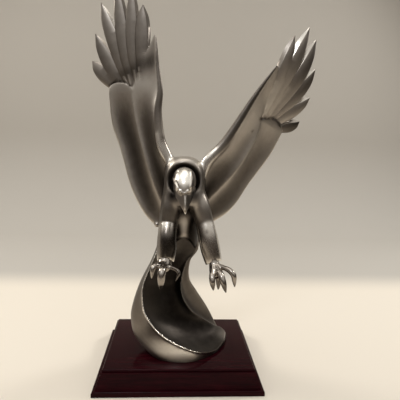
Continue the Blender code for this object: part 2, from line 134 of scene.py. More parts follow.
# The wrist is blended again between these, from this share across its hollow outwards
WRIST_START, WRIST_END, WRIST_OUTER_SIDE = (0.48, 0.56), (0.78, 0.86), (0.45, 0.7)
ROLL_PROFILE = [(0, 0), (0.3, 0.5), (0.95, 0.85), (1.6, 1.0), (2.1, 0.8)]
ROLL_LIMIT = 0.3
ROLL_RADII = [5.0, 4.6, 4.0, 3.4, 2.5, 1.7, 1.1, 0.5]
HAND_THICKNESS = [7.0, 6.5, 6.0, 5.5, 5.0, 4.2, 3.4, 1.0]
HAND_TROUGH = [2.5, 3.5, 4.0, 3.5, 1.5, 1.2, 0.9, 0.1]
HAND_CREST = 0.6
CREST_OVERHANG, CREST_DROP = 0.12, 0.4
HAND_BACK_LEVEL = 0.7
HAND_BACK_SLOPE = 0.8
LOBE_THICKNESS = [6.0, 6.5, 7.0, 7.0, 7.5, 7.5]
LOBE_TROUGH = [1.0, 2.5, 4.0, 4.0, 3.2, 0.6]
LOBE_EDGE = 2.4
LOBE_TUCK, LOBE_TUCK_DEPTH = 3.0, 0.45
LOBE_START_HEIGHT = 0.2
# How far the lobe's rounded end reaches past its last section, from the ridge to the trailing edge
LEFT_END_ARC = [3.5, 4.8, 6.6, 8.4, 9.6, 9.6, 8.3, 6.0, 0.0]
RIGHT_END_ARC = [1.0, 2.0, 4.0, 6.6, 8.5, 9.3, 8.7, 6.2, 0.0]
LOBE_END_THINNING = 0.65
LOBE_END_SINK = 0.3            # how far the end's edge drops onto the feathers
LOBE_BACK_SLOPE = 0.4
LEFT_FEATHER_WIDTHS = [14.0, 15.5, 14.5, 14.5, 14.0, 14.5]
RIGHT_FEATHER_WIDTHS = [12.0, 13.5, 15.5, 15.0, 14.0, 12.0]
LEFT_FEATHER_FRONT = (-0.12, -0.99, 0.05)
RIGHT_FEATHER_FRONT = (0.20, -0.97, -0.10)
FEATHER_TAPER = [0.55, 0.78, 0.96, 1.03, 0.96, 0.70, 0.06]
FEATHER_THINNING = [1.0, 1.0, 1.0, 0.9, 0.7, 0.2]
FEATHER_THICKNESS = 4.2
# Shares of the width that the polished chamfer takes, from root to tip
LEFT_CHAMFER = [0.12, 0.12, 0.12, 0.16, 0.22, 0.28]
RIGHT_CHAMFER = [0.1, 0.12, 0.15, 0.22, 0.32, 0.4]
FEATHER_CHAMFER = [(0, -0.4), (0.85, 0.3), (1, 0.42)]          # (share of the chamfer, height)
FEATHER_FACE = [(0.03, 0.46), (0.5, 0.44), (0.85, 0.36), (0.96, 0.2), (1, 0)]  # (share of the rest, height)
FEATHER_BACK = [(0.97, -0.14), (0.7, -0.4), (0.4, -0.48), (0.15, -0.5), (0.03, -0.48), (0.0, -0.45)]
FEATHER_CROWDING = 0.85
# Lightness from root to tip, what each feather adds to it, and the painted highlight on each chamfer
LEFT_FEATHER_LIGHT, RIGHT_FEATHER_LIGHT = [0.4, 0.42, 0.41, 0.41], [0.62, 0.56, 0.45, 0.42]
LEFT_FEATHER_SHIFTS, RIGHT_FEATHER_SHIFTS = [0, -0.05, 0, -0.02, 0, -0.04], [-0.32, 0, -0.12, -0.12, 0, 0.06]
LEFT_CHAMFER_LIGHT, RIGHT_CHAMFER_LIGHT = [0.45, 0.6, 0.8, 0.3, 0.3, 0.2], [0.6, 0.8, 0.85, 0.75, 0.85, 0.4]
# Blended roots of the feathers under the wrist, as shares of a feather's length and thickness
ROOT_REACH = 0.36
ROOT_FULLNESS = 0.84
# Fine raised lines (right, up) on the left wing's roots, as the front view shows them
ROOT_RIDGES = [
    [(-54.8, 262.6), (-53.2, 257), (-51.7, 252.1)], [(-48.9, 267.1), (-47.6, 259), (-46.8, 253.1)],
    [(-45.1, 269.0), (-43.8, 263), (-43.4, 257.8)], [(-59.5, 262), (-56.5, 257), (-54, 253)],
]

# The torso's sections: middle, half width, foremost, hindmost, level
TORSO = [(1, 4, -8, 4, 187), (1, 11, -15.5, 9, 185.3), (1, 15, -20, 13, 181.5), (1, 18, -23, 16.5, 173),
         (1.5, 19, -26.5, 19, 163), (1.5, 19.6, -30, 20.5, 154), (1.5, 20.3, -31.5, 21, 147),
         (1.7, 19.5, -30.2, 20.5, 142.5), (2, 17, -20.5, 19, 138), (1.5, 15.5, -18.5, 17, 126),
         (1.5, 14.5, -18.5, 15, 114), (2, 12.5, -15.5, 13, 109.5)]
TORSO_FRONT_SQUARENESS = [1, 1, 0.85, 0.62, 0.55, 0.55, 0.55, 0.6, 0.7, 0.85, 0.95, 1]
BELLY_ARCH = 13.0              # how much lower the belly's rim is at its sides
BELLY_SHARES = (0.72, 1.0)
# Painted light on the torso: shade below the breast and under the belly, highlights in the belly's middle and
# on the hood's rim
BODY_LIGHT, CHEST_SHADE, BELLY_SHADE = 0.52, 0.08, 0.46
BELLY_GLEAM, SHOULDER_GLEAM = 0.75, 0.22
# The hollow behind the head, and the polish, lightness and softness of its inner surface, painted dark with
# shade
COWL_CENTRE = (0.2, -36, 168)
COWL_RADII = (17.3, 20, 14.4)
COWL_POLISH_SHADE_SOFTNESS = (0.05, 0.14, 1.0)
# A pip beside the left hip: its middle, and its (height above that, radius) sections
KNOB = (-24.5, 0, 119.5)
KNOB_PROFILE = [(-2.6, 0.4), (-1.8, 1.7), (0, 2.3), (1.8, 1.7), (2.6, 0.4)]

# Sections of the limbs: centre, half width, half height
HEAD = [((1, -4, 165), 8.0, 8.0), ((0.9, -15, 167.5), 9.4, 9.0), ((0.9, -24, 168), 10.2, 9.6),
        ((0.9, -31.5, 164.6), 10.2, 9.6), ((0.7, -37.8, 160), 8.6, 8.0), ((0.5, -42.3, 156.4), 5.4, 4.6),
        ((0.5, -44.2, 154.8), 2.0, 1.8)]
BEAK = [((0.9, -27, 165.5), 9.8, 7.0), ((0.9, -35, 160.5), 10.2, 6.6), ((1.0, -40, 154.4), 8.2, 5.6),
        ((1.3, -43.8, 148.8), 5.4, 4.4), ((1.6, -46.8, 144), 3.0, 3.0), ((1.9, -48.6, 138.4), 0.5, 0.8)]
LEFT_LEG = [((-7, -7, 162), 7.0, 6.5), ((-9.3, -14.5, 152), 9.8, 9.0), ((-11.5, -21, 141), 9.6, 9.6),
            ((-13, -22.8, 126.5), 9.0, 9.2), ((-13.6, -27.5, 120), 8.8, 8.8),
            ((-13.9, -32.5, 113.5), 8.8, 8.4), ((-14, -34.5, 104.5), 9.2, 8.0),
            ((-14.6, -35.5, 93.5), 7.9, 7.6)]
RIGHT_LEG = [((8.5, -7, 162), 7.0, 6.5), ((12.6, -14.5, 152), 9.8, 9.0), ((16.8, -21, 141.5), 9.4, 9.6),
             ((20.6, -23.5, 128), 8.8, 9.4), ((22.4, -27.5, 120.5), 8.9, 9.0), ((24.2, -31.5, 113), 9.2, 8.6),
             ((26.4, -34, 103.5), 9.1, 8.2), ((29.2, -36, 93), 8.0, 7.4)]
# From the hip to the cuff: painted highlights on both knees, a painted dark reflection on the left shin,
# the right one lighter
LEFT_LEG_LIGHT = [0.4, 0.4, 0.42, 0.4, 0.36, 0.3, 0.34, 0.8, 0.74, 0.36, 0.15, 0.08, 0.04, 0.03, 0.1]
RIGHT_LEG_LIGHT = [0.45, 0.5, 0.52, 0.5, 0.46, 0.4, 0.44, 0.74, 0.74, 0.62, 0.54, 0.48, 0.42, 0.34, 0.3]
LEG_POLISH = [0.3, 0.3, 0.3, 0.3, 0.3, 0.3, 0.3, 0.5, 0.75, 0.75, 0.7, 0.7, 0.7, 0.7, 0.8]
LEFT_FOOT = [((-14.8, -36.5, 101), 5.0, 5.0), ((-15, -38.5, 95), 6.0, 5.2), ((-15.3, -44, 91.5), 6.4, 4.2),
             ((-15.5, -49.5, 90), 4.5, 3.2)]
RIGHT_FOOT = [((28, -37, 101), 4.4, 4.4), ((28.8, -39.5, 94), 4.6, 4.4), ((30, -44.5, 88.5), 5.8, 3.7),
              ((31.2, -50, 83.5), 7.0, 2.6)]
LEFT_TOES = [[(-15.5, -45, 92), (-17, -59, 90.5), (-17.5, -62, 77)],
             [(-16, -44, 93), (-24, -54, 93.5), (-25.5, -57, 84)],
             [(-14, -44, 92), (-3, -52.5, 89.5), (-5.5, -55, 81)],
             [(-15.5, -44, 92), (-16.5, -39, 85), (-16.5, -43, 77)]]
RIGHT_TOES = [[(27.5, -42.5, 93), (26.2, -55, 84), (27.5, -57, 74)],
              [(29.8, -43, 93), (34.5, -56, 85), (38, -60, 73)],
              [(31.2, -42.5, 93), (43.5, -53.5, 89), (45.8, -56, 77)],
              [(30, -44, 88), (33, -42, 80), (33, -44, 70)]]
LEFT_TOE_RADII = [[2.6, 3.0, 3.4, 3.3, 2.9, 1.2], [3.0, 2.6, 2.6, 2.2, 1.6, 0.5],
                  [2.6, 2.0, 1.9, 1.6, 1.1, 0.4], [2.8, 2.6, 2.6, 2.2, 1.5, 0.5]]
RIGHT_TOE_RADII = [[1.8, 2.2, 2.8, 2.7, 2.0, 0.5], [1.8, 2.2, 2.9, 2.8, 2.1, 0.5],
                   [1.8, 2.2, 2.6, 2.6, 2.0, 0.6], [2.8, 2.6, 2.8, 2.5, 1.9, 0.6]]
FOOT_LIGHT, FOOT_POLISH = 0.52, 0.9
TOE_PIT = ([(-17.3, -63, 78.9)], 1.1, -1.2)        # a hole in the left middle toe: place, radius, depth
# Each leg is flattened on its outer side: direction round it in degrees, share of its radius
LEFT_LEG_FLAT, RIGHT_LEG_FLAT = (158, 0.84), (22, 0.88)
LEFT_CUFF_NOTCH, RIGHT_CUFF_NOTCH = 4.5, 2.0
CUFF_DEPTH = 5.0
# (share of the rim's radius, share of the depth, how hidden it is) from the rim into the hollow
CUFF_PROFILE = [(0.985, 0.06, 0), (0.90, 0.10, 0.3), (0.82, 0.0, 1), (0.78, -0.5, 1), (0.72, -1.0, 1)]
# Shares of a leg's length at which these start and end
CUFF_ARCH, CUFF_LIP = (0.93, 1.0), (0.955, 0.985)
KNEE_START, KNEE_END = (0.36, 0.43), (0.66, 0.76)
# Painted shade at the knee's sides, and a painted highlight on the shin's flat
KNEE_SHADE, SHIN_GLEAM = 0.55, 0.3
# Beak's section from the left edge over the ridge to the right edge, and home under it
BEAK_SECTION = [(-1, -0.45), (-0.86, -0.2), (-0.62, 0.12), (-0.4, 0.42), (-0.24, 0.8), (0, 1), (0.24, 0.8),
                (0.4, 0.42), (0.62, 0.12), (0.86, -0.2), (1, -0.45), (0.8, -0.62), (0.4, -0.75), (0, -0.8),
                (-0.4, -0.75), (-0.8, -0.62)]
# Brows, cere and nostrils as the front view shows them: line, radius, height
SKULL_STROKES = [
    ([(-8.9, -36, 167.6), (-7.6, -39, 164), (-5.3, -42, 161)], 0.9, 0.8),
    ([(6.6, -30, 174), (7.2, -36, 168), (6.0, -41, 161.5)], 0.9, 0.7),
    ([(-3.1, -43.5, 158.6), (-1.6, -44.4, 156.9), (0.3, -44.8, 156.2), (2.0, -44.4, 156.9),
      (3.6, -43.5, 158.6)], 0.8, 0.9),
    ([(-6.6, -38, 165.5), (-4.2, -42, 160.5)], 0.8, -0.6),
    ([(-5.6, -41, 157.7)], 0.7, -0.9),
    ([(-1.3, -45, 155.5)], 0.6, -0.7),
    ([(3.6, -45, 155.5)], 0.6, -0.5),
    ([(8.7, -38, 161.2)], 0.8, 0.6),
]
STROKE_LIMIT = -26             # strokes touch only what lies before this

# Wave: left rim, right rim, flute floor, back fold, back and outer side, from the body to the lobe's tip
WAVE = [
    [(-9, -2, 140), (9, -2, 140), (0, -1, 140), (10, 3, 140), (1, 12, 140), (-10, 4, 140)],
    [(-12, -3, 130), (12, -3, 130), (0, -4, 130), (13, 4, 130), (1, 16.5, 130), (-13.5, 6, 130)],
    [(-18, -5, 118), (15, -6, 116), (-2, -8, 118), (16, 3, 116), (1, 19.5, 117), (-19, 7, 118)],
    [(-22, -8, 100), (15.5, -6, 98), (-3, -7, 99), (16, 0, 97), (-2, 22.5, 99), (-22.5, 5, 99)],
    [(-27.5, -16, 86), (5.5, -8, 84), (-10, -2, 82), (9, 2, 84), (-8, 24, 82), (-28, 3, 84)],
    [(-35, -24, 67), (0.3, -9, 64), (-14, 3, 60), (9, 9, 64), (-10, 28, 63), (-37, -2, 66)],
    [(-34.5, -30, 50), (2.5, -8, 49), (-13, -4, 40), (17, 16, 48), (-8, 33, 46), (-44, -5, 47)],
    [(-30.5, -34, 39.5), (10, -4, 35.5), (-8, -9, 24), (26, 22, 33), (0, 36, 28), (-46.5, -7, 29)],
    [(-19, -38, 26.5), (18, 0, 28), (2, -14, 14.5), (32, 25, 22), (10, 35, 9), (-41, -12, 10)],
    [(-2, -40, 16), (28, 5, 20), (15, -17, 8.5), (38, 25.5, 10), (22, 31, -6), (-18, -31, -4)],
    [(18, -37.5, 7.5), (37, 8, 14), (28, -15, 5.5), (43, 21, 1), (31, 20, -12), (8, -38, -10)],
    [(35, -25, 3), (44, 7.5, 11.5), (40, -8, 5), (47, 13, -3), (40, 6, -14), (29, -26, -12)],
    [(45.5, -8, 4.5), (48, 3, 8.5), (47.2, -2, 6), (49, 5, 2), (47, 0, -6), (45, -8, -4)],
]
RIM_RADII = [0.4, 0.5, 0.6, 0.8, 0.8, 0.5, 0.35]
# Painted highlight along the wave's lip, from its start to the lobe's tip
RIM_LIGHT = [0.5, 0.8, 0.95, 1.0, 1.0, 0.6, 0.5]
RIM_START = 0.12               # share of the wave's length at which its lip begins
FLUTE_SHARPNESS = 1.25
FOLD_HOLLOW = 0.16             # depth of the hollow beside the right rim, as a share of its width
# Patina and painted shade in the flute
FLUTE_LIGHT = [0.32, 0.2, 0.16, 0.1, 0.03, 0.0, 0.02, 0.08, 0.26]      # from the left rim to the right rim
FLUTE_LOWER_LIGHT = -0.08
FLUTE_TOP_LIGHT = 0.16
# Lightness of the wave's outer side from the body to the lobe's tip, with a painted reflection low on its
# front
WAVE_SIDE_LIGHT = [0.35, 0.35, 0.35, 0.32, 0.3, 0.3, 0.28, 0.3, 0.5, 0.85, 0.85, 0.3, 0.1]
# The outer skin from the right rim over the fold and the back to the left rim: shares, values there;
# its lightness is painted light and shade
OUTER_LIGHT = ([0, 0.1, 0.3, 0.45, 0.7], [0.45, 0.13, 0.27, 0.55, 0.5])
OUTER_POLISH = ([0, 0.1, 0.3, 0.8, 1], [0.4, 0.1, 0.15, 0.15, 0.3])
# Extra lightness (below zero: darker) round points of the finished figure: point, radius, amount
TONE_AND_PAINTED_LIGHT_SPOTS = [
    # Darker and lighter patches on the left wing's feathers and wrist
    ((-32.6, 9, 275), 6.5, -0.3), ((-40.4, 12, 273), 6, -0.12), ((-46.1, 13, 269), 6, -0.14),
    ((-51.1, 14, 266), 5.5, -0.14), ((-56.5, 17, 264), 5.5, -0.12), ((-62, 19, 263), 5.5, -0.1),
    ((-37, 8, 256), 9, 0.12), ((-46, 13, 255), 5, 0.08),
    # Painted shadow under the beak on the chest, and a painted highlight on its right
    ((-12, -28, 152), 8, -0.05), ((12, -28, 150), 7, 0.2), ((0, -31, 145), 9, -0.1),
    # Painted shadows beside the beak
    ((-10, -31, 153.5), 4.5, -0.6), ((11, -31, 154), 4.5, -0.6),
    # A darker dot on the right knee, and painted shade in the hole in the left middle toe
    ((21.6, -38, 122), 1.6, -0.6), ((-17.3, -63, 78.9), 1.8, -0.9),
    # A painted highlight on the wave's tip, painted shade under the belly and a painted highlight in its
    # middle
    ((47, 0, 6), 8, 0.3), ((-2.5, -22, 116.5), 4, -0.5), ((5, -24, 126), 4, 0.15),
    # A darker dot on the right wing
    ((68.4, 13, 213.4), 1.1, -0.45),
]
# Lines as the front view shows them (line, radius, amount): painted shadow in the seams where the coverts
# lie on the feathers, and at the shoulders painted highlights on the rolls' crests and painted shade on
# the left roll's edge
PAINTED_SHADE_AND_HIGHLIGHT_LINES = [
    ([(-51.8, 252.6), (-55.7, 255), (-59.8, 257), (-63.9, 257.6), (-69, 256.6), (-74, 253.4)], 1.1, -0.35),
    ([(76.3, 225.6), (81.2, 226.6), (86.3, 227.2), (90.8, 227), (94.6, 226), (97.8, 223.8), (100, 221)],
     1.5, -0.42),
    ([(-25.2, 206.9), (-24.1, 199.5), (-22.1, 193.1), (-19.2, 187.6), (-15.8, 184.5)], 1.7, 0.55),
    ([(-19.4, 204), (-16.2, 196), (-11.4, 187.5)], 2.2, -0.32),
    ([(30.5, 195.6), (25.3, 190.3), (20.2, 185.9), (16.5, 182.1)], 1.6, 0.4),
]
FRONT_LIMIT = 0.45             # skin turned further back than this takes no painted line


# Curves and shells

def spline(values, shares):
    """A smooth curve through the values, read at shares from 0 to 1 of their number."""
    known = np.asarray(values, float)
    padded = np.concatenate([[2 * known[0] - known[1]], known, [2 * known[-1] - known[-2]]])
    along = np.clip(np.asarray(shares, float), 0, 1) * (len(known) - 1)
    i = np.minimum(along.astype(int), len(known) - 2)
    t = along - i
    t = t.reshape(t.shape + (1,) * (known.ndim - 1))
    a, b, c, d = padded[i], padded[i + 1], padded[i + 2], padded[i + 3]
    return 0.5 * (2 * b + (c - a) * t + (2 * a - 5 * b + 4 * c - d) * t ** 2
                  + (3 * b - a - 3 * c + d) * t ** 3)


def column(values, shares):
    """A spline's values with one row for each share."""
    return spline(values, shares)[:, None]


def strips(rows, *parts):
    """Columns side by side: each part is a value, or an array, and the number of its columns."""
    return np.concatenate([np.broadcast_to(value, (rows, count)) for value, count in parts], axis=1)


def ease(value, start, end):
    """0 before the start, 1 after the end and smooth between them."""
    t = np.clip((np.asarray(value, float) - start) / (end - start), 0, 1)
    return t * t * (3 - 2 * t)


def unit(vectors):
    length = np.linalg.norm(vectors, axis=-1, keepdims=True)
    return vectors / np.maximum(length, 1e-9)


def circle(sides):
    """Angles evenly spaced round a full turn."""
    return 2 * np.pi * np.arange(sides) / sides


class Shell:
    """A closed skin of rings of points, with every point's polish, lightness and softness."""

    def __init__(self, name, rings, polish=0.0, light=0.0, soft=0.0):
        rings = np.asarray(rings, float)
        self.name = name
        self.stations, self.count = rings.shape[:2]
        self.points = rings.reshape(-1, 3)
        self.finish = np.stack([np.broadcast_to(v, rings.shape[:2]).reshape(-1)
                                for v in (polish, light, soft)], axis=1).astype(float)

    def made(self):
        """The skin as an object, each end closed by strips of faces across the ring."""
        stations, count = self.stations, self.count
        faces = []
        for i in range(stations - 1):
            for k in range(count):
                j = (k + 1) % count
                faces.append((i * count + k, i * count + j, (i + 1) * count + j, (i + 1) * count + k))
        for base in (0, (stations - 1) * count):
            faces.append((base, base + 1, base + count - 1))
            for k in range(1, (count - 1) // 2):
                faces.append((base + k, base + k + 1, base + count - k - 1, base + count - k))
            if count % 2 == 0:
                half = base + count // 2
                faces.append((half - 1, half, half + 1))
        return make_object(self.name, self.points, faces)


# Objects and meshes

@contextmanager
def editing(data):
    """A mesh's points, edges and faces, open for changes."""
    mesh = bmesh.new()
    mesh.from_mesh(data)
    yield mesh
    mesh.to_mesh(data)
    mesh.free()


def in_scene(name, data):
    """A new object of the scene that shows a mesh, a lamp or a camera."""
    made = bpy.data.objects.new(name, data)
    bpy.context.scene.collection.objects.link(made)
    return made


def make_object(name, points, faces):
    """A mesh object from points in drawing millimetres, its faces turned outwards."""
    placed = np.asarray(points, float) * MM
    placed[:, 2] += SEAT_LEVEL
    data = bpy.data.meshes.new(name)
    data.from_pydata(placed.tolist(), [], faces)
    with editing(data) as mesh:
        bmesh.ops.recalc_face_normals(mesh, faces=mesh.faces)
    return in_scene(name, data)


def points_of(thing):
    """An object's points in drawing millimetres."""
    points = np.empty(len(thing.data.vertices) * 3)
    thing.data.vertices.foreach_get("co", points)
    points = points.reshape(-1, 3) / MM
    points[:, 2] -= SEAT_LEVEL / MM
    return points


def set_points(thing, points):
    """Moves an object's points, given in drawing millimetres."""
    placed = points * MM
    placed[:, 2] += SEAT_LEVEL
    thing.data.vertices.foreach_set("co", placed.reshape(-1))
    thing.data.update()


def normals_of(thing):
    normals = np.empty(len(thing.data.vertices) * 3)
    thing.data.vertices.foreach_get("normal", normals)
    return normals.reshape(-1, 3)


def bake(thing):
    """Turns what the modifiers make into the object's own mesh."""
    graph = bpy.context.evaluated_depsgraph_get()
    data = bpy.data.meshes.new_from_object(thing.evaluated_get(graph))
    thing.modifiers.clear()
    thing.data = data


def joined(name, things):
    """One object with the loose parts of several."""
    mesh = bmesh.new()
    for thing in things:
        mesh.from_mesh(thing.data)
    data = bpy.data.meshes.new(name)
    mesh.to_mesh(data)
    mesh.free()
    for thing in things:
        bpy.data.objects.remove(thing)
    return in_scene(name, data)


def remesh(thing, voxel):
    """One even skin round everything in the object."""
    step = thing.modifiers.new("even_skin", "REMESH")
    step.mode = "VOXEL"
    step.voxel_size = voxel * MM
    bake(thing)


def thin_out(thing, triangles):
    step = thing.modifiers.new("fewer_faces", "DECIMATE")
    now = sum(len(p.vertices) - 2 for p in thing.data.polygons)
    step.ratio = min(1.0, triangles / now)
    bake(thing)


def combine(target, other, operation="UNION"):
    """Joins the other object to the target, or cuts it away, and uses it up."""
    step = target.modifiers.new(other.name, "BOOLEAN")
    step.operation = operation
    step.solver = "MANIFOLD"
    step.object = other
    bake(target)
    bpy.data.objects.remove(other)


def smooth_faces(mesh, crease):
    """Smooth shading, but for edges sharper than the crease angle."""
    for edge in mesh.edges:
        edge.smooth = edge.calc_face_angle(0.0) < crease
    for face in mesh.faces:
        face.smooth = True


def relaxed(thing, values, weights, passes):
    """Values of an object's points, each drawn towards its neighbours' mean as far as its weight says."""
    edges = np.empty(len(thing.data.edges) * 2, int)
    thing.data.edges.foreach_get("vertices", edges)
    a, b = edges.reshape(-1, 2).T
    number = len(values)
    degree = np.maximum(np.bincount(a, minlength=number) + np.bincount(b, minlength=number), 1)[:, None]
    weights = np.broadcast_to(weights, number)[:, None]
    for _ in range(passes):
        total = np.stack([np.bincount(a, part[b], number) + np.bincount(b, part[a], number)
                          for part in values.T], axis=1)
        values = values + (total / degree - values) * weights
    return values


def relax(thing, weights, passes):
    """Softens an object's skin."""
    set_points(thing, relaxed(thing, points_of(thing), weights, passes))


# Wings

def front_of(chord, span):
    """Unit normals of a surface, on the side that faces the front."""
    normal = unit(np.cross(chord, span))
    return np.where(normal[..., 1:2] < 0, normal, -normal)


def run_of(line, shares, step=0.02):
    """The way a line runs at each share of it."""
    return spline(line, np.minimum(shares + step, 1)) - spline(line, np.maximum(shares - step, 0))


def band_rings(lead, trail, normal, front_u, front_n, back_u, back_n):
    """Rings of a band, one per station, from how far across (u) and how high (n) its points lie."""
    across = unit(trail - lead)
    u = np.concatenate([front_u, back_u[:, ::-1]], axis=1)[..., None]
    n = np.concatenate([front_n, back_n[:, ::-1]], axis=1)[..., None]
    return lead[:, None] + across[:, None] * u + normal[:, None] * n


def hand(name, lead, ridge, face, shade, roll_shine):
    """Leading roll, groove and hollow up to the ridge, from the shoulder to the wing's leading tip."""
    s = np.linspace(0, 1, HAND_STATIONS)
    roll_shares = np.linspace(0, 1, ROLL_POINTS)
    t = np.linspace(0, 1, HAND_HOLLOW_POINTS + 2)[1:-1]
    a, d = spline(lead, s), spline(ridge, s)
    normal = front_of(d - a, run_of(lead, s) + run_of(ridge, s))
    width = np.linalg.norm(d - a, axis=1)[:, None]
    thick = column(HAND_THICKNESS, s)
    r = np.minimum(column(ROLL_RADII, s), ROLL_LIMIT * width)
    roll = spline(ROLL_PROFILE, roll_shares)
    roll_u, roll_n = r * roll[:, 0], r * roll[:, 1]
    end_u, end_n = roll_u[:, -1:], roll_n[:, -1:]
    sag = 4 * t * (1 - t)
    hollow_u = end_u + (width - end_u) * t
    hollow_n = end_n + (HAND_CREST - end_n) * t - column(HAND_TROUGH, s) * sag
    front_u = np.concatenate([roll_u, hollow_u, width, width + CREST_OVERHANG * thick], axis=1)
    front_n = np.concatenate([roll_n, hollow_n, 0 * width + HAND_CREST, -CREST_DROP * thick], axis=1)
    back_u = front_u[:, 1:-1]
    back_n = -np.minimum(thick, HAND_BACK_LEVEL * r + HAND_BACK_SLOPE * back_u)
    rings = band_rings(a, d, normal, front_u, front_n, back_u, back_n)
    # Across the band: painted highlight on the roll and painted shade on its inner side, patina and
    # painted shade in the hollow, and a painted highlight on the crest
    back_count = back_u.shape[1]
    shine = column(roll_shine, s)
    inner_light = ROLL_INNER_LIGHT[0] + ROLL_INNER_LIGHT[1] * ease(s, *ROLL_INNER_RISE)[:, None]
    roll_light = shine + (inner_light - shine) * ease(roll_shares, *ROLL_INNER_SIDE)
    hollow_light = column(face, s) - column(shade, s) * sag ** PATINA_AND_SHADE_SPREAD
    light = strips(len(s), (roll_light, ROLL_POINTS), (hollow_light, len(t)), (CREST_LIGHT, 2),
                   (BACK_LIGHT, back_count))
    polish = strips(len(s), (shine * ROLL_POLISH, ROLL_POINTS), (SATIN, len(t)), (CREST_POLISH, 2),
                    (SATIN, back_count))
    # Soft at the shoulder, and again where the wrist runs out onto the feathers' roots
    wrist = (ease(s, *WRIST_START) * (1 - ease(s, *WRIST_END)))[:, None]
    outer = np.concatenate([0 * roll_shares, ease(t, *WRIST_OUTER_SIDE), [1, 1], np.ones(back_count)])
    outer[len(outer) - back_count // 2:] = 0
    soft = np.maximum(1 - ease(s, *HAND_SHOULDER)[:, None], wrist * outer)
    return Shell(name, rings, polish, light, soft)


def lobe(name, ridge, trail, shade, end_arc):
    """Hollow between the ridge and the trailing edge, from the shoulder to its rounded end."""
    steps = np.sin(np.linspace(0, np.pi / 2, LOBE_END_STATIONS + 1)[1:])
    s = np.concatenate([np.linspace(0, 1, LOBE_STATIONS), np.ones(len(steps))])
    rise = np.concatenate([np.zeros(LOBE_STATIONS), steps])[:, None]
    a, d = spline(ridge, s * LOBE_END), spline(trail, s)
    normal = front_of(d - a, run_of(ridge, s * LOBE_END) + run_of(trail, s))
    span = unit(np.cross(d - a, normal))
    span = np.where(span[:, 2:] > 0, span, -span)
    width = np.linalg.norm(d - a, axis=1)[:, None]
    thin = 1 - LOBE_END_THINNING * rise ** 2.5
    sink = normal * LOBE_END_SINK * rise ** 3
    a, d = a - sink, d - sink
    thick = column(LOBE_THICKNESS, s) * thin
    edge = LOBE_EDGE * thin
    t = (1 - np.cos(np.linspace(0, np.pi, LOBE_HOLLOW_POINTS + 2)[1:-1])) / 2
    sag = 4 * t * (1 - t)
    depth = column(LOBE_TROUGH, s) * thin
    start_n, end_n = LOBE_START_HEIGHT * thin, edge / 2
    front_u = np.concatenate([-LOBE_TUCK * thin, 0 * width, (width - edge) * t, width - edge, width], axis=1)
    front_n = np.concatenate([-LOBE_TUCK_DEPTH * thick, start_n,
                              start_n + (end_n - start_n) * t - depth * sag, edge / 2, 0 * width], axis=1)
    back_u = front_u[:, 1:-1]
    back_n = -np.minimum(thick, edge / 2 + (width - back_u) * LOBE_BACK_SLOPE)
    rings = band_rings(a, d, normal, front_u, front_n, back_u, back_n)
    share = np.clip(np.concatenate([front_u, back_u[:, ::-1]], axis=1) / width, 0, 1)
    arc = rise * spline(end_arc, np.arccos(1 - 2 * share) / np.pi)
    rings = rings + span[:, None] * arc[..., None]
    # Painted highlights along the lobe's edges, patina and painted shade in its hollow
    hollow_light = LOBE_LIGHT - column(shade, s) * sag ** PATINA_AND_SHADE_SPREAD
    back_count = back_u.shape[1]
    light = strips(len(s), (0.5, 1), (0.6, 1), (hollow_light, len(t)), (0.75, 1), (0.8, 1),
                   (BACK_LIGHT, back_count))
    polish = strips(len(s), (0.2, 1), (0.3, 1), (SATIN, len(t)), (0.4, 1), (0.5, 1), (SATIN, back_count))
    return Shell(name, rings, polish, light, 1 - ease(s, *LOBE_SHOULDER)[:, None])


def feather(name, points, width, front_normal, trailing_side, face_light, chamfer_light, chamfer_widths,
            reach=1.0, fullness=1.0):
    """A blade with a broad polished chamfer along its leading edge, narrowing to a point.

    A reach below 1 makes only its root, which blends softly with what lies round it."""
    s = np.linspace(0, 1, FEATHER_STATIONS) ** FEATHER_CROWDING * reach
    centre = spline(points, s)
    axis = unit(run_of(points, s))
    across = unit(np.cross(np.array(front_normal), axis)) * trailing_side
    normal = front_of(across, axis)
    w = width * column(FEATHER_TAPER, s)
    t = fullness * FEATHER_THICKNESS * column(FEATHER_THINNING, s)
    chamfer, face, back = (np.array(part) for part in (FEATHER_CHAMFER, FEATHER_FACE, FEATHER_BACK))
    cut = column(chamfer_widths, s)
    front_u = np.concatenate([cut * chamfer[:, 0], cut + (1 - cut) * face[:, 0]], axis=1)
    front_n = np.concatenate([chamfer[:, 1], face[:, 1]])
    lead = centre - across * w / 2
    rings = band_rings(lead, lead + across * w, normal, w * front_u, t * front_n,
                       w * back[::-1, 0], t * back[::-1, 1])
    # Painted highlight on the chamfer
    light = strips(len(s), (chamfer_light, len(chamfer)), (column(face_light, s), len(face)),
                   (BACK_LIGHT, len(back)))
    polish = strips(len(s), (0.3 + 0.6 * chamfer_light, len(chamfer)), (SATIN, len(face) + len(back)))
    soft = 1 - ease(s, *ROOT_BLEND)[:, None] if reach < 1 else 0.0
    return Shell(name, rings, polish, light, soft)


def fan(side, lines, widths, front, turn, cuts, light, shifts, chamfer_light):
    """One wing's feathers, and the blended roots of those that grow from under the wrist."""
    feathers = []
    roots = []
    for i, line in enumerate(lines):
        given = (line, widths[i], front, turn, np.add(light, shifts[i]), chamfer_light[i], cuts)
        feathers.append(feather(f"{side}_feather_{i}", *given))
        if i > 1:
            roots.append(feather(f"{side}_root_{i}", *given, reach=ROOT_REACH, fullness=ROOT_FULLNESS))
    return feathers, roots


# Body, head, legs and feet

def below(level, heights, depth):
    """0 above a level, 1 from a depth below it and smooth between them."""
    return ease(level - heights, 0, depth)


def sections_at(sections, shares):
    """Centres, half widths and half heights at shares of a limb's length."""
    return [spline(part, shares) for part in zip(*sections)]


def round_sections(centres, radii):
    return [(centre, radius, radius) for centre, radius in zip(centres, radii)]


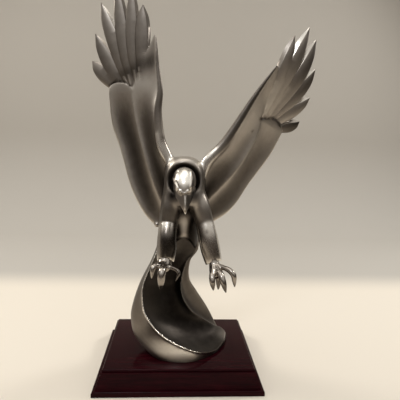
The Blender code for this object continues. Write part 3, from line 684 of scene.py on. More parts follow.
def ring_round(centre, axis, lateral, across, up):
    """A section's points, square to the axis."""
    return centre + np.outer(across, lateral) + np.outer(up, np.cross(axis, lateral))


def tube_rings(sections, count, sides, flat=None):
    """Rings of a round-sided limb through (centre, half width, half height) sections.

    A flat is (its direction round the section in degrees, its distance as a share of the radius)."""
    centres, widths, heights = sections_at(sections, np.linspace(0, 1, count))
    axis = unit(np.gradient(centres, axis=0))
    lateral = np.array([1.0, 0, 0]) if abs(axis[0][0]) < 0.8 else np.array([0, 0, 1.0])
    angle = circle(sides)
    cos, sin = np.cos(angle), np.sin(angle)
    if flat:
        direction, limit = flat
        reach = np.cos(angle - math.radians(direction))
        shorten = np.where(reach > limit, limit / np.maximum(reach, limit), 1.0)
        cos, sin = cos * shorten, sin * shorten
    rings = []
    for i in range(count):
        lateral = unit(lateral - axis[i] * np.dot(lateral, axis[i]))
        rings.append(ring_round(centres[i], axis[i], lateral, cos * widths[i], sin * heights[i]))
    return np.array(rings)


def torso():
    """Chest and belly, squarer at the front, with the belly's rim arched over the wave."""
    s = np.linspace(0, 1, TORSO_STATIONS)
    centre, half_width, fore, aft, level = (column(part, s) for part in zip(*TORSO))
    cos, sin = np.cos(circle(TORSO_SIDES)), np.sin(circle(TORSO_SIDES))
    square = np.where(sin > 0, column(TORSO_FRONT_SQUARENESS, s), 1.0)
    x = centre + half_width * (np.sign(cos) * np.abs(cos) ** square)
    y = np.where(sin > 0, fore, aft) * np.abs(sin) ** square
    z = level - BELLY_ARCH * ease(s, *BELLY_SHARES)[:, None] * np.abs(cos) ** 2
    # Painted shade below the breast and under the belly, a painted highlight there in the middle,
    # and a painted highlight on the hood's rim
    front = ease(-y, 0, 6)
    chest = below(166, z, 6) * front
    belly = below(142, z, 3) * front
    middle = 1 - ease(np.abs(cos), 0.0, 0.4)
    light = BODY_LIGHT - CHEST_SHADE * chest - belly * BELLY_SHADE
    light = light + belly * middle * below(136, z, 10) * BELLY_GLEAM
    light = np.clip(light + SHOULDER_GLEAM * ease(z, 175, 181), 0, 1)
    return Shell("torso", np.stack([x, y, z], axis=2), 0.3 - 0.2 * belly, light,
                 1 - ease(s, *BELLY_BLEND)[:, None])


def cowl_hollow():
    """The boxy hollow behind the head: what cuts it out, and the painted shade of its inner surface."""
    mesh = bmesh.new()
    bmesh.ops.create_uvsphere(mesh, u_segments=96, v_segments=64, radius=1.0)
    mesh.verts.ensure_lookup_table()
    points = []
    for v in mesh.verts:
        boxy = (v.co.y ** 4 + (v.co.x ** 2 + v.co.z ** 2) ** 2) ** -0.25
        points.append([c + r * k * boxy for c, r, k in zip(COWL_CENTRE, COWL_RADII, v.co)])
    faces = [[v.index for v in f.verts] for f in mesh.faces]
    mesh.free()
    return make_object("cowl_hollow", points, faces), Shell("cowl_painted_shade", [points], *COWL_POLISH_SHADE_SOFTNESS)


def leg(name, sections, flat, notch, shade):
    """A thigh and shin that end in a hollow cuff, arched at the front where the foot comes out."""
    s = np.linspace(0, 1, LEG_STATIONS)
    angle = circle(LEG_SIDES)
    rings = tube_rings(sections, LEG_STATIONS, LEG_SIDES, flat)
    middle = rings[-1].mean(axis=0)
    axis = unit(middle - rings[-3].mean(axis=0))
    front = np.maximum(np.sin(angle), 0)[:, None] ** 2
    rings = rings - notch * ease(s, *CUFF_ARCH)[:, None, None] * front[None] * axis
    rim = rings[-1]
    cuff = [middle + (rim - middle) * scale + axis * CUFF_DEPTH * depth
            for scale, depth, _ in CUFF_PROFILE]
    reach = np.concatenate([s, np.ones(len(cuff)) * 1.1])[:, None]
    inside = np.concatenate([0 * s, [hidden for _, _, hidden in CUFF_PROFILE]])[:, None]
    lip = ease(reach, *CUFF_LIP) * (1 - inside)
    # Painted shade at the knee's sides, painted highlights on the shin's flat and on the cuff's lip, which
    # is also more polished, and painted shade inside the cuff
    knee = ease(reach, *KNEE_START) * (1 - ease(reach, *KNEE_END))
    light = spline(shade, reach) * (1 - KNEE_SHADE * knee * ease(np.abs(np.cos(angle)), 0.35, 0.8)[None])
    facing = np.cos(angle - math.radians(flat[0]))
    light = light + SHIN_GLEAM * (ease(facing, 0.6, 0.9)[None] * ease(reach, 0.4, 0.5))
    light = light + (1 - light) * 0.9 * lip - 0.65 * inside
    polish = spline(LEG_POLISH, reach) + 0.15 * lip - 0.6 * inside
    return Shell(name, np.concatenate([rings, cuff]), polish, light, 1 - ease(reach, *THIGH_BLEND))


def toe(name, line, radii):
    centres = spline(line, np.linspace(0, 1, len(radii)))
    return Shell(name, tube_rings(round_sections(centres, radii), TOE_STATIONS, TOE_SIDES)).made()


def foot(name, sections, toes, radii):
    """Palm, toes and claws of one foot, fused and softened."""
    things = [Shell(name + "_palm", tube_rings(sections, PALM_STATIONS, PALM_SIDES)).made()]
    things += [toe(f"{name}_toe_{i}", line, radii[i]) for i, line in enumerate(toes)]
    made = joined(name, things)
    remesh(made, FOOT_VOXEL)
    relax(made, 0.5, FOOT_PASSES)
    return made


def head():
    """Skull and beak fused in a fine skin, with brows, cere and nostrils worked in."""
    skull = Shell("skull", tube_rings(HEAD, HEAD_STATIONS, SKULL_SIDES))
    centres, widths, heights = sections_at(BEAK, np.linspace(0, 1, HEAD_STATIONS))
    axis = unit(np.gradient(centres, axis=0))
    across, up = np.array(BEAK_SECTION).T
    rings = [ring_round(centres[i], axis[i], (1.0, 0, 0), across * widths[i], up * heights[i])
             for i in range(HEAD_STATIONS)]
    made = joined("head", [skull.made(), Shell("beak", rings).made()])
    remesh(made, HEAD_VOXEL)
    relax(made, 0.5, HEAD_PASSES)
    for line, radius, depth in SKULL_STROKES:
        stroke(made, line, radius, depth)
    x, y, z = points_of(made).T
    # Painted reflection of the room on the skull: dark at its sides and darker towards the neck and the
    # beak's root
    light = (0.2 + 0.75 * ease(-y, 19, 28)) * (1 - 0.75 * ease(-x, 6.0, 8.2))
    light = light * (1 - 0.75 * ease(x, 6.2, 7.4) * (1 - 0.5 * ease(x, 9, 10)))
    light = light * (1 - 0.15 * below(166, z, 4)) * (1 - 0.5 * below(159, z, 3))
    # The beak: painted shade on its right side and painted highlights on its ridge and tip
    beak = below(155, z, 2)
    ridge = np.exp(-((x - 1.5) / 0.7) ** 2) * ease(z, 141, 144)
    light = light * (1 - 0.45 * beak * ease(x, 2.2, 3.4))
    light = np.clip(light + beak * 0.5 * ridge + 0.6 * below(141, z, 1.5), 0, 1)
    return made, Shell("head_skin", [points_of(made)], 0.1 + 0.6 * light, light)


# Wave

def wave():
    """The twisted, fluted wave that carries the eagle."""
    s = np.linspace(0, 1, WAVE_STATIONS)
    left, right, floor, fold, back, side = (spline(line, s)[:, None] for line in zip(*WAVE))
    shares = np.arange(1, FLUTE_STEPS) / FLUTE_STEPS
    inner = np.pi * shares[None, :, None]
    flute = (left + right) / 2 + (left - right) / 2 * np.cos(inner)
    flute = flute + (floor - (left + right) / 2) * np.sin(inner) ** FLUTE_SHARPNESS
    length = np.linalg.norm(fold - right, axis=2, keepdims=True)
    hollow = right + (fold - right) / 2 + unit(back + side - fold - right) * length * FOLD_HOLLOW
    outer = [spline(line, shares) for line in np.concatenate([right, hollow, fold, back, side, left], axis=1)]
    # Patina and painted shade in the flute: darker towards its floor and, lower down, towards its sides
    lower = ease(s, 0.5, 1.0)[:, None] * FLUTE_LOWER_LIGHT
    top = (1 - ease(s, 0.12, 0.36))[:, None] * FLUTE_TOP_LIGHT
    flute_light = spline(FLUTE_LIGHT, shares) + top + lower * np.abs(shares - 0.55) * 2
    # Painted light and shade on the outer skin, with a painted reflection low on the front
    outer_light = np.interp(shares, *OUTER_LIGHT)
    outer_light = outer_light + (column(WAVE_SIDE_LIGHT, s) - outer_light) * ease(shares, 0.6, 0.8)
    number = len(shares)
    light = strips(len(s), (0.9, 1), (np.clip(flute_light, 0, 1), number), (0.6, 1), (outer_light, number))
    polish = strips(len(s), (1.0, 1), (0.1 + 0.8 * (1 - ease(shares, 0.0, 0.06)), number), (0.5, 1),
                    (np.interp(shares, *OUTER_POLISH), number))
    return Shell("wave", np.concatenate([left, flute, right, outer], axis=1), polish, light,
                 1 - ease(s, *WAVE_BLEND)[:, None])


def rim_bead():
    """The rounded lip along the wave's left and front rim."""
    line = spline([points[0] for points in WAVE], np.linspace(RIM_START, 1, RIM_SECTIONS))
    radii = spline(RIM_RADII, np.linspace(0, 1, RIM_SECTIONS))
    rings = tube_rings(round_sections(line, radii), RIM_STATIONS, RIM_SIDES)
    # Painted highlight along the lip
    light = column(RIM_LIGHT, np.linspace(0, 1, RIM_STATIONS))
    return Shell("rim_bead", rings, 0.5 + 0.5 * light, light)


def knob():
    """The pip beside the left hip."""
    centres = [np.add(KNOB, (0, 0, rise)) for rise, _ in KNOB_PROFILE]
    sections = round_sections(centres, [radius for _, radius in KNOB_PROFILE])
    return Shell("knob", tube_rings(sections, 12, 24), 0.4, 0.6, 0.2)


# Lines worked into the skin

def line_distance(points, line):
    """Every point's distance from a line of points."""
    line = np.asarray(line, float)
    distance = np.full(len(points), np.inf)
    for a, b in zip(line, line[1:]):
        along = np.clip(((points - a) @ (b - a)) / np.dot(b - a, b - a), 0, 1)[:, None]
        distance = np.minimum(distance, np.linalg.norm(points - a - (b - a) * along, axis=1))
    return distance


def stroke(thing, line, radius, depth):
    """Raises a skin's front along a line of the front view, or sinks it where the depth is below zero."""
    points = points_of(thing)
    flat, line = points.copy(), np.array(line, float)
    flat[:, 1] = line[:, 1] = 0
    if len(line) == 1:
        line = np.concatenate([line, line + [0, 0, 0.01]])
    lift = depth * np.exp(-(line_distance(flat, line) / radius) ** 2) * (points[:, 1] < STROKE_LIMIT)
    set_points(thing, points + normals_of(thing) * lift[:, None])


def laid_ridge(name, thing, line):
    """A fine raised line laid on the side that faces the front, thicker towards its end."""
    sections = []
    for x, z in spline(line, np.linspace(0, 1, RIDGE_SECTIONS)):
        start = Vector((x * MM, -0.2, z * MM + SEAT_LEVEL))
        hit, place, _, _ = thing.ray_cast(start, Vector((0, 1, 0)))
        if hit:
            radius = 0.1 + 0.2 * (len(sections) / RIDGE_SECTIONS)
            sections.append(((x, place.y / MM, z), radius, radius))
    return Shell(name, tube_rings(sections, 30, 10), 0.4, 0.72)


# The casting

def nearest_finish(points, shells):
    """Polish, lightness and softness of the nearest points of the given shells."""
    sources = np.concatenate([shell.points for shell in shells])
    finish = np.concatenate([shell.finish for shell in shells])
    tree = KDTree(len(sources))
    for i, p in enumerate(sources.tolist()):
        tree.insert(p, i)
    tree.balance()
    return finish[[tree.find(p)[1] for p in points.tolist()]]


def with_painted_light_and_spots(skin, finish):
    """The finish with spots of painted light and some darker patches, painted shade in the seams, at the
    wave's foot and round the cowl, and painted highlights on the rolls' crests.
    """
    points = points_of(skin)
    light = finish[:, 1]
    for centre, radius, amount in TONE_AND_PAINTED_LIGHT_SPOTS:
        light += amount * np.exp(-((points - centre) ** 2).sum(axis=1) / radius ** 2)
    # Painted shadow where the wave meets the plinth, and soft painted shade round the rim of the cowl
    light *= 0.35 + 0.65 * ease(points[:, 2], 0, 9)
    x, y, z = ((points - COWL_CENTRE) / COWL_RADII).T
    ring = (y ** 4 + (x ** 2 + z ** 2) ** 2) ** 0.25
    near = ease(ring, 0.8, 0.92) * (1 - ease(ring, 1.0, 1.3)) * ease(points[:, 2], 155, 160)
    light *= 1 - 0.5 * near * ease(-points[:, 1], 12, 18)
    front = normals_of(skin)[:, 1] < FRONT_LIMIT
    for line, radius, amount in PAINTED_SHADE_AND_HIGHLIGHT_LINES:
        light += amount * np.exp(-(line_distance(points[:, [0, 2]], line) / radius) ** 2) * front
    finish[:, 1] = np.clip(light, 0, 1)
    return finish


def casting():
    """The eagle and its wave in one skin, blended where the sculptor blended it, and its finish with painted
    light and shade.
    """
    left_feathers, left_roots = fan("left", LEFT_FEATHERS, LEFT_FEATHER_WIDTHS, LEFT_FEATHER_FRONT, 1,
                                    LEFT_CHAMFER, LEFT_FEATHER_LIGHT, LEFT_FEATHER_SHIFTS,
                                    LEFT_CHAMFER_LIGHT)
    right_feathers, right_roots = fan("right", RIGHT_FEATHERS, RIGHT_FEATHER_WIDTHS, RIGHT_FEATHER_FRONT, -1,
                                      RIGHT_CHAMFER, RIGHT_FEATHER_LIGHT, RIGHT_FEATHER_SHIFTS,
                                      RIGHT_CHAMFER_LIGHT)
    body = torso()
    blended = [
        hand("left_hand", LEFT_LEAD, LEFT_RIDGE, LEFT_HAND_LIGHT, LEFT_HAND_SHADE, LEFT_ROLL_SHINE),
        hand("right_hand", RIGHT_LEAD, RIGHT_RIDGE, RIGHT_HAND_LIGHT, RIGHT_HAND_SHADE, RIGHT_ROLL_SHINE),
        lobe("left_lobe", LEFT_RIDGE, LEFT_TRAIL, LEFT_LOBE_SHADE, LEFT_END_ARC),
        lobe("right_lobe", RIGHT_RIDGE, RIGHT_TRAIL, RIGHT_LOBE_SHADE, RIGHT_END_ARC),
        body,
        wave(),
        leg("left_leg", LEFT_LEG, LEFT_LEG_FLAT, LEFT_CUFF_NOTCH, LEFT_LEG_LIGHT),
        leg("right_leg", RIGHT_LEG, RIGHT_LEG_FLAT, RIGHT_CUFF_NOTCH, RIGHT_LEG_LIGHT),
        rim_bead(),
        knob(),
        *left_roots,
        *right_roots,
    ]
    things = [shell.made() for shell in blended]
    hollow, hollow_shade = cowl_hollow()
    combine(things[blended.index(body)], hollow, "DIFFERENCE")
    skin = joined("eagle_on_wave", things)
    remesh(skin, BODY_VOXEL)
    blended.append(hollow_shade)
    softness = nearest_finish(points_of(skin), blended)[:, 2]
    relax(skin, 0.5, SKIN_PASSES)
    relax(skin, softness * 0.5, BLEND_PASSES)
    thin_out(skin, BODY_FACES)

    crisp = left_feathers + right_feathers
    for shell in crisp:
        combine(skin, shell.made())
    ridges = [laid_ridge(f"root_ridge_{i}", skin, line) for i, line in enumerate(ROOT_RIDGES)]
    for shell in ridges:
        combine(skin, shell.made())
    left_foot = foot("left_foot", LEFT_FOOT, LEFT_TOES, LEFT_TOE_RADII)
    right_foot = foot("right_foot", RIGHT_FOOT, RIGHT_TOES, RIGHT_TOE_RADII)
    stroke(left_foot, *TOE_PIT)
    head_skin, head_shell = head()
    combine(skin, head_skin)
    # The left foot is darker on its inner side, the right one towards its claws
    left_points, right_points = points_of(left_foot), points_of(right_foot)
    left_darkening, right_darkening = ease(left_points[:, 0], -12, -8), below(83, right_points[:, 2], 5)
    feet = [Shell("left_foot", [left_points], FOOT_POLISH, FOOT_LIGHT * (1 - 0.5 * left_darkening)),
            Shell("right_foot", [right_points], FOOT_POLISH, FOOT_LIGHT * (1 - 0.5 * right_darkening))]
    combine(skin, left_foot)
    combine(skin, right_foot)
    finish = nearest_finish(points_of(skin), blended + crisp + ridges + [head_shell] + feet)
    return skin, with_painted_light_and_spots(skin, relaxed(skin, finish, 0.5, 2))


def clear_slivers(mesh):
    """Dissolves faces thinner than a hair and drops pairs of faces folded onto each other."""
    bmesh.ops.dissolve_degenerate(mesh, dist=SLIVER * MM, edges=mesh.edges[:])
    bmesh.ops.triangulate(mesh, faces=mesh.faces)
    by_corners = {}
    for face in mesh.faces:
        by_corners.setdefault(frozenset(face.verts), []).append(face)
    folded = [face for pair in by_corners.values() if len(pair) > 1 for face in pair]
    bmesh.ops.delete(mesh, geom=folded, context="FACES")


def cut_at_seat(thing):
    """Cuts the figure off flat where it stands on the plinth, and clears and smooths its faces."""
    with editing(thing.data) as mesh:
        everything = mesh.verts[:] + mesh.edges[:] + mesh.faces[:]
        cut = bmesh.ops.bisect_plane(mesh, geom=everything, dist=1e-7, plane_co=(0, 0, SEAT_LEVEL),
                                     plane_no=(0, 0, -1), clear_outer=True)
        rim = [e for e in cut["geom_cut"] if isinstance(e, bmesh.types.BMEdge)]
        bmesh.ops.contextual_create(mesh, geom=rim)
        clear_slivers(mesh)
        smooth_faces(mesh, CREASE_ANGLE)


def store(thing, name, values):
    """Keeps a value of every point on the mesh, where its material reads it."""
    attribute = thing.data.attributes.new(name, "FLOAT", "POINT")
    attribute.data.foreach_set("value", np.asarray(values, np.float32))


# Materials

def srgb(code):
    """Linear colour of an sRGB hex code."""
    parts = [int(code[i:i + 2], 16) / 255 for i in (0, 2, 4)]
    return [p / 12.92 if p <= 0.04045 else ((p + 0.055) / 1.055) ** 2.4 for p in parts] + [1.0]


def feed(tree, node, inputs):
    """Sets a node's inputs. A value may be another node, for its first output, or (node, output)."""
    for name, value in inputs.items():
        source, output = value if isinstance(value, tuple) and len(value) == 2 else (value, 0)
        if isinstance(source, bpy.types.Node):
            tree.links.new(source.outputs[output], node.inputs[name])
        else:
            node.inputs[name].default_value = value


def add_node(tree, kind, inputs=None, **settings):
    """A node with its settings, its inputs' values and its links."""
    node = tree.nodes.new(kind)
    for name, value in settings.items():
        setattr(node, name, value)
    feed(tree, node, inputs or {})
    return node


def ramp_stops(node, stops):
    """Colour stops of a ramp as (position, hex code)."""
    elements = node.color_ramp.elements
    while len(elements) > 1:
        elements.remove(elements[-1])
    elements[0].position = stops[0][0]
    elements[0].color = srgb(stops[0][1])
    for position, code in stops[1:]:
        elements.new(position).color = srgb(code)


def new_material(name):
    material = bpy.data.materials.new(name)
    material.use_nodes = True
    tree = material.node_tree
    return material, tree, tree.nodes["Principled BSDF"]


# Patches of patina in metres. The satin's grain is coarser than real brushing, so that it shows
PATINA_PATCH = 0.00625
SATIN_GRAIN = 0.001 * 5 / 7
SATIN_DEPTH = 0.0002


def silver_plate():
    """Silver plate over cast resin, antiqued: a bright metal, mirror-like where it is buffed on crests
    and satin elsewhere, coloured after the given lightness: black-brown patina and painted shade in
    the hollows, painted highlights and reflections, and faint mottling all over."""
    material, tree, shader = new_material("antiqued_silver_plate_with_painted_light")
    place = (add_node(tree, "ShaderNodeTexCoord"), "Object")
    light, polish = ((add_node(tree, "ShaderNodeAttribute", attribute_name=name), "Fac")
                     for name in ("lightness", "polish"))
    mottle = add_node(tree, "ShaderNodeTexNoise",
                      {"Vector": place, "Scale": 1 / PATINA_PATCH, "Detail": 4.0, "Roughness": 0.6})
    grain = add_node(tree, "ShaderNodeTexNoise", {"Vector": place, "Scale": 1 / SATIN_GRAIN, "Detail": 2.0})
    sway = add_node(tree, "ShaderNodeMath", {0: mottle, 1: 0.10, 2: -0.05}, operation="MULTIPLY_ADD")
    shade = add_node(tree, "ShaderNodeMath", {0: light, 1: sway}, operation="ADD", use_clamp=True)
    colour = add_node(tree, "ShaderNodeValToRGB", {"Fac": shade})
    ramp_stops(colour, [(0.0, "231f1c"), (0.3, "6b645d"), (0.6, "a8a097"), (0.85, "d2ccc3"), (1.0, "ece7de")])
    rough, strength = (
        add_node(tree, "ShaderNodeMapRange", {"Value": polish, "To Min": dull, "To Max": buffed})
        for dull, buffed in ((0.42, 0.14), (0.22, 0.02)))
    speck = add_node(tree, "ShaderNodeMath", {0: grain, 1: 0.08, 2: rough}, operation="MULTIPLY_ADD")
    bump = add_node(tree, "ShaderNodeBump", {"Height": grain, "Strength": strength, "Distance": SATIN_DEPTH})
    feed(tree, shader, {"Base Color": colour, "Roughness": speck, "Normal": bump, "Metallic": 1.0})
    return material


# Streaks of the wood's figure in metres, along and across, coarser than real ones so that they show
STREAK_LENGTH = 0.025
STREAK_WIDTH = 0.0025
STREAK_DEPTH = 0.0002


def plinth_lacquer():
    """Wood stained dark mahogany under clear gloss lacquer: nearly black with faint red-brown
    streaks, and sharp but weak reflections."""
    material, tree, shader = new_material("gloss_mahogany_lacquer")
    place = (add_node(tree, "ShaderNodeTexCoord"), "Object")
    scale = (1 / STREAK_LENGTH, 1 / STREAK_WIDTH, 1 / STREAK_WIDTH)
    stretch = add_node(tree, "ShaderNodeMapping", {"Vector": place, "Scale": scale})
    figure = add_node(tree, "ShaderNodeTexNoise",
                      {"Vector": stretch, "Scale": 1.0, "Detail": 6.0, "Roughness": 0.65})
    colour = add_node(tree, "ShaderNodeValToRGB", {"Fac": figure})
    ramp_stops(colour, [(0.3, "180206"), (0.55, "25040a"), (0.8, "330810")])
    bump = add_node(tree, "ShaderNodeBump", {"Height": figure, "Distance": STREAK_DEPTH, "Strength": 0.04})
    feed(tree, shader, {"Base Color": colour, "Normal": bump, "Roughness": 0.16, "Specular IOR Level": 0.07})
    return material


def stage_paper(name):
    """Matt paper, cream underfoot and greyer from 0.2 m behind the statue's middle."""
    material, tree, shader = new_material(name)
    place = (add_node(tree, "ShaderNodeTexCoord"), "Object")
    parts = add_node(tree, "ShaderNodeSeparateXYZ", {"Vector": place})
    depth = add_node(tree, "ShaderNodeMapRange", {"Value": (parts, "Y"), "From Min": 0.2, "From Max": 0.3},
                     interpolation_type="SMOOTHSTEP")
    colour = add_node(tree, "ShaderNodeMix", {"Factor": depth, "A": srgb("e4dbcd"), "B": srgb("b9b4ac")},
                      data_type="RGBA")
    feed(tree, shader, {"Base Color": (colour, "Result"), "Roughness": 0.85})
    return material


# Plinth, in metres

FOOT_BEAD_HEIGHT = 0.0046
FOOT_BEAD_ROUNDING = 0.0014
FOOT_STEP = 0.0014
FACE_LEAN = 0.0040
LIP_HEIGHT = 0.0014
LIP_STEP = 0.0014
TOP_SLAB_HEIGHT = 0.0022
TOP_EDGE_ROUNDING = 0.0008
MITRE_CREASE = math.radians(30)


def rounded(inset, level, radius, steps=6):
    """An outer top edge rounded over, as (inset, level) points."""
    return [(inset + radius * (1 - math.cos(math.pi / 2 * k / steps)),
             level - radius * (1 - math.sin(math.pi / 2 * k / steps))) for k in range(steps + 1)]


def plinth_profile():
    """(inset from the foot's side, level) from the middle of the underside to the middle of the top."""
    face_foot = FOOT_STEP + FOOT_BEAD_ROUNDING
    lip_level = PLINTH_HEIGHT - TOP_SLAB_HEIGHT
    face_top = face_foot + FACE_LEAN
    return [(PLINTH_DEPTH / 2, 0.0), (0.0, 0.0), *rounded(0.0, FOOT_BEAD_HEIGHT, FOOT_BEAD_ROUNDING),
            (face_foot, FOOT_BEAD_HEIGHT), (face_top, lip_level - LIP_HEIGHT), (face_top, lip_level),
            (face_top + LIP_STEP, lip_level),
            *rounded(face_top + LIP_STEP, PLINTH_HEIGHT, TOP_EDGE_ROUNDING),
            (PLINTH_DEPTH / 2, PLINTH_HEIGHT)]


def sweep_tree(profile_count, material):
    """Geometry Nodes that carry a moulding's profile round a rectangle with mitred corners."""
    tree = bpy.data.node_groups.new("mitred_moulding", "GeometryNodeTree")
    for name, way, kind in (("Profile", "INPUT", "Geometry"), ("Width", "INPUT", "Float"),
                            ("Depth", "INPUT", "Float"), ("Moulding", "OUTPUT", "Geometry")):
        tree.interface.new_socket(name, in_out=way, socket_type="NodeSocket" + kind)
    given = add_node(tree, "NodeGroupInput")
    # A grid with a row for each point of the profile and five columns: the corners, the first one twice
    grid = add_node(tree, "GeometryNodeMeshGrid", {"Vertices X": profile_count, "Vertices Y": 5})
    index = add_node(tree, "GeometryNodeInputIndex")
    row = add_node(tree, "ShaderNodeMath", {0: index, 1: 5.0}, operation="DIVIDE")
    row = add_node(tree, "ShaderNodeMath", {0: row}, operation="FLOOR")
    corner = add_node(tree, "ShaderNodeMath", {0: index, 1: 5.0}, operation="MODULO")
    turn = add_node(tree, "ShaderNodeMath", {0: corner, 1: math.pi / 2, 2: math.pi * 1.25},
                    operation="MULTIPLY_ADD")
    point = add_node(tree, "GeometryNodeSampleIndex", data_type="FLOAT_VECTOR")
    feed(tree, point, {"Geometry": (given, "Profile"), "Value": add_node(tree, "GeometryNodeInputPosition"),
                       "Index": row})
    parts = add_node(tree, "ShaderNodeSeparateXYZ", {"Vector": (point, "Value")})
    placed = []
    for size, swing in (("Width", "COSINE"), ("Depth", "SINE")):
        side = add_node(tree, "ShaderNodeMath", {0: turn}, operation=swing)
        side = add_node(tree, "ShaderNodeMath", {0: side}, operation="SIGN")
        half = add_node(tree, "ShaderNodeMath", {0: (given, size), 1: 0.5}, operation="MULTIPLY")
        reach = add_node(tree, "ShaderNodeMath", {0: half, 1: (parts, "X")}, operation="SUBTRACT")
        placed.append(add_node(tree, "ShaderNodeMath", {0: reach, 1: side}, operation="MULTIPLY"))
    target = add_node(tree, "ShaderNodeCombineXYZ", {"X": placed[0], "Y": placed[1], "Z": (parts, "Z")})
    moved = add_node(tree, "GeometryNodeSetPosition", {"Geometry": grid, "Position": target})
    welded = add_node(tree, "GeometryNodeMergeByDistance", {"Geometry": moved, "Distance": 1e-6})
    real = add_node(tree, "GeometryNodeRealizeInstances", {"Geometry": welded})
    finish = add_node(tree, "GeometryNodeSetMaterial", {"Geometry": real, "Material": material})
    add_node(tree, "NodeGroupOutput", {"Moulding": finish})
    return tree


def plinth(material):
    """The moulded base, made by the tree and then baked to a plain mesh."""
    profile = plinth_profile()
    data = bpy.data.meshes.new("lacquered_plinth")
    data.from_pydata([(inset, 0, level) for inset, level in profile], [], [])
    made = in_scene("lacquered_plinth", data)
    step = made.modifiers.new("moulding", "NODES")
    tree = sweep_tree(len(profile), material)
    step.node_group = tree
    sizes = {"Width": PLINTH_WIDTH, "Depth": PLINTH_DEPTH}
    for item in tree.interface.items_tree:
        if item.in_out == "INPUT" and item.name in sizes:
            step[item.identifier] = sizes[item.name]
    bake(made)
    with editing(made.data) as mesh:
        bmesh.ops.recalc_face_normals(mesh, faces=mesh.faces)
        smooth_faces(mesh, MITRE_CREASE)
    return made


# Stage, light and camera, in metres

SWEEP_FRONT = -1.4
SWEEP_BACK = 0.55
SWEEP_BEND = 0.25
SWEEP_TOP = 1.6
SWEEP_SIDE = 1.6
# Name, place, aim, size across and along, power in watts, colour
LAMPS = [
    ("ceiling_panel", (-0.1, 0.1, 1.0), (0, 0, 0.2), (0.9, 0.7), 1.8, "fffaf2"),
    ("lamp_beyond_left", (-0.75, 0.35, 0.75), (0, 0, 0.1), (0.25, 0.25), 3.2, "fbf6ee"),
    ("lamp_beyond_right", (0.75, 0.35, 0.75), (0, 0, 0.1), (0.25, 0.25), 3.2, "f8f6f2"),
    ("window_before", (-0.15, -0.5, 0.95), (0, 0, 0.2), (0.22, 0.18), 1.2, "eef3fa"),
]
CAMERA_PLACE = (-0.0078, -0.3855, 0.2166)
CAMERA_PITCH = math.radians(7.43)
CAMERA_YAW = math.radians(3.71)
CAMERA_ROLL = math.radians(1.74)


def sweep_backdrop(material):
    """Floor that curves up into a plain backdrop."""
    line = [(SWEEP_FRONT, 0.0), (SWEEP_BACK, 0.0)]
    line += [(SWEEP_BACK + SWEEP_BEND * math.sin(a), SWEEP_BEND * (1 - math.cos(a)))
             for a in np.linspace(0, math.pi / 2, 16)[1:]]
    line.append((SWEEP_BACK + SWEEP_BEND, SWEEP_TOP))
    points = [(x, y, z) for y, z in line for x in (-SWEEP_SIDE, SWEEP_SIDE)]
    faces = [(2 * i, 2 * i + 1, 2 * i + 3, 2 * i + 2) for i in range(len(line) - 1)]
    data = bpy.data.meshes.new("studio_sweep")
    data.from_pydata(points, [], faces)
    data.materials.append(material)
    for face in data.polygons:
        face.use_smooth = True
    in_scene("studio_sweep", data)


def soft_light(name, place, aim, size, power, code):
    data = bpy.data.lights.new(name, "AREA")
    data.shape = "ELLIPSE"
    data.size, data.size_y = size
    data.energy = power
    data.color = srgb(code)[:3]
    lamp = in_scene(name, data)
    lamp.location = place
    lamp.rotation_euler = (Vector(aim) - Vector(place)).to_track_quat("-Z", "Y").to_euler()


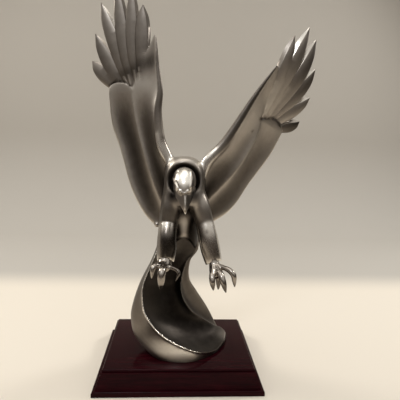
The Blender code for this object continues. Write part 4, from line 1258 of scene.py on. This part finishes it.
def room_light():
    """What the plating mirrors: a nearly white ceiling over grey-brown walls, darker to the right.

    Where the camera looks past the sweep it sees a plain pale grey."""
    world = bpy.data.worlds.new("room")
    bpy.context.scene.world = world
    world.use_nodes = True
    tree = world.node_tree
    way = (add_node(tree, "ShaderNodeTexCoord"), "Generated")
    parts = add_node(tree, "ShaderNodeSeparateXYZ", {"Vector": way})
    wall = add_node(tree, "ShaderNodeValToRGB", {"Fac": (parts, "X")})
    ramp_stops(wall, [(0.0, "766f69"), (0.5, "6e655c"), (1.0, "47423d")])
    height = add_node(tree, "ShaderNodeMapRange", {"Value": (parts, "Z"), "From Min": 0.25, "From Max": 0.75},
                      interpolation_type="SMOOTHSTEP")
    room = add_node(tree, "ShaderNodeMix", {"Factor": height, "A": wall, "B": srgb("f6f4ef")},
                    data_type="RGBA")
    seen = (add_node(tree, "ShaderNodeLightPath"), "Is Camera Ray")
    pale = add_node(tree, "ShaderNodeMix", {"Factor": seen, "A": (room, "Result"), "B": srgb("aca7a0")},
                    data_type="RGBA")
    feed(tree, tree.nodes["Background"], {"Color": (pale, "Result"), "Strength": 1.0})


def camera():
    """The photograph's viewing angle: a 36 mm lens on a 36 mm wide frame."""
    data = bpy.data.cameras.new("camera")
    data.lens, data.sensor_width = 36.0, 36.0
    data.clip_start = 0.01
    eye = in_scene("camera", data)
    ahead = Vector((math.sin(CAMERA_YAW) * math.cos(CAMERA_PITCH),
                    math.cos(CAMERA_YAW) * math.cos(CAMERA_PITCH), -math.sin(CAMERA_PITCH)))
    right = Vector((math.cos(CAMERA_YAW), -math.sin(CAMERA_YAW), 0))
    up = right.cross(ahead)
    turned_right = right * math.cos(CAMERA_ROLL) + up * math.sin(CAMERA_ROLL)
    turned_up = up * math.cos(CAMERA_ROLL) - right * math.sin(CAMERA_ROLL)
    turn = Matrix((turned_right, turned_up, -ahead)).transposed().to_4x4()
    eye.matrix_world = Matrix.Translation(CAMERA_PLACE) @ turn
    bpy.context.scene.camera = eye


def main():
    figure, finish = casting()
    store(figure, "polish", finish[:, 0])
    store(figure, "lightness", finish[:, 1])
    cut_at_seat(figure)
    figure.data.materials.clear()
    figure.data.materials.append(silver_plate())
    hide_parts("eagle_casting")
    bpy.context.scene.view_settings.view_transform = "Standard"
    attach(figure, "root")
    base = plinth(plinth_lacquer())
    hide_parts("wooden_plinth")
    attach(base, "root")
    sweep_backdrop(stage_paper("pale_paper"))
    room_light()
    for lamp in LAMPS:
        soft_light(*lamp)
    camera()


main()
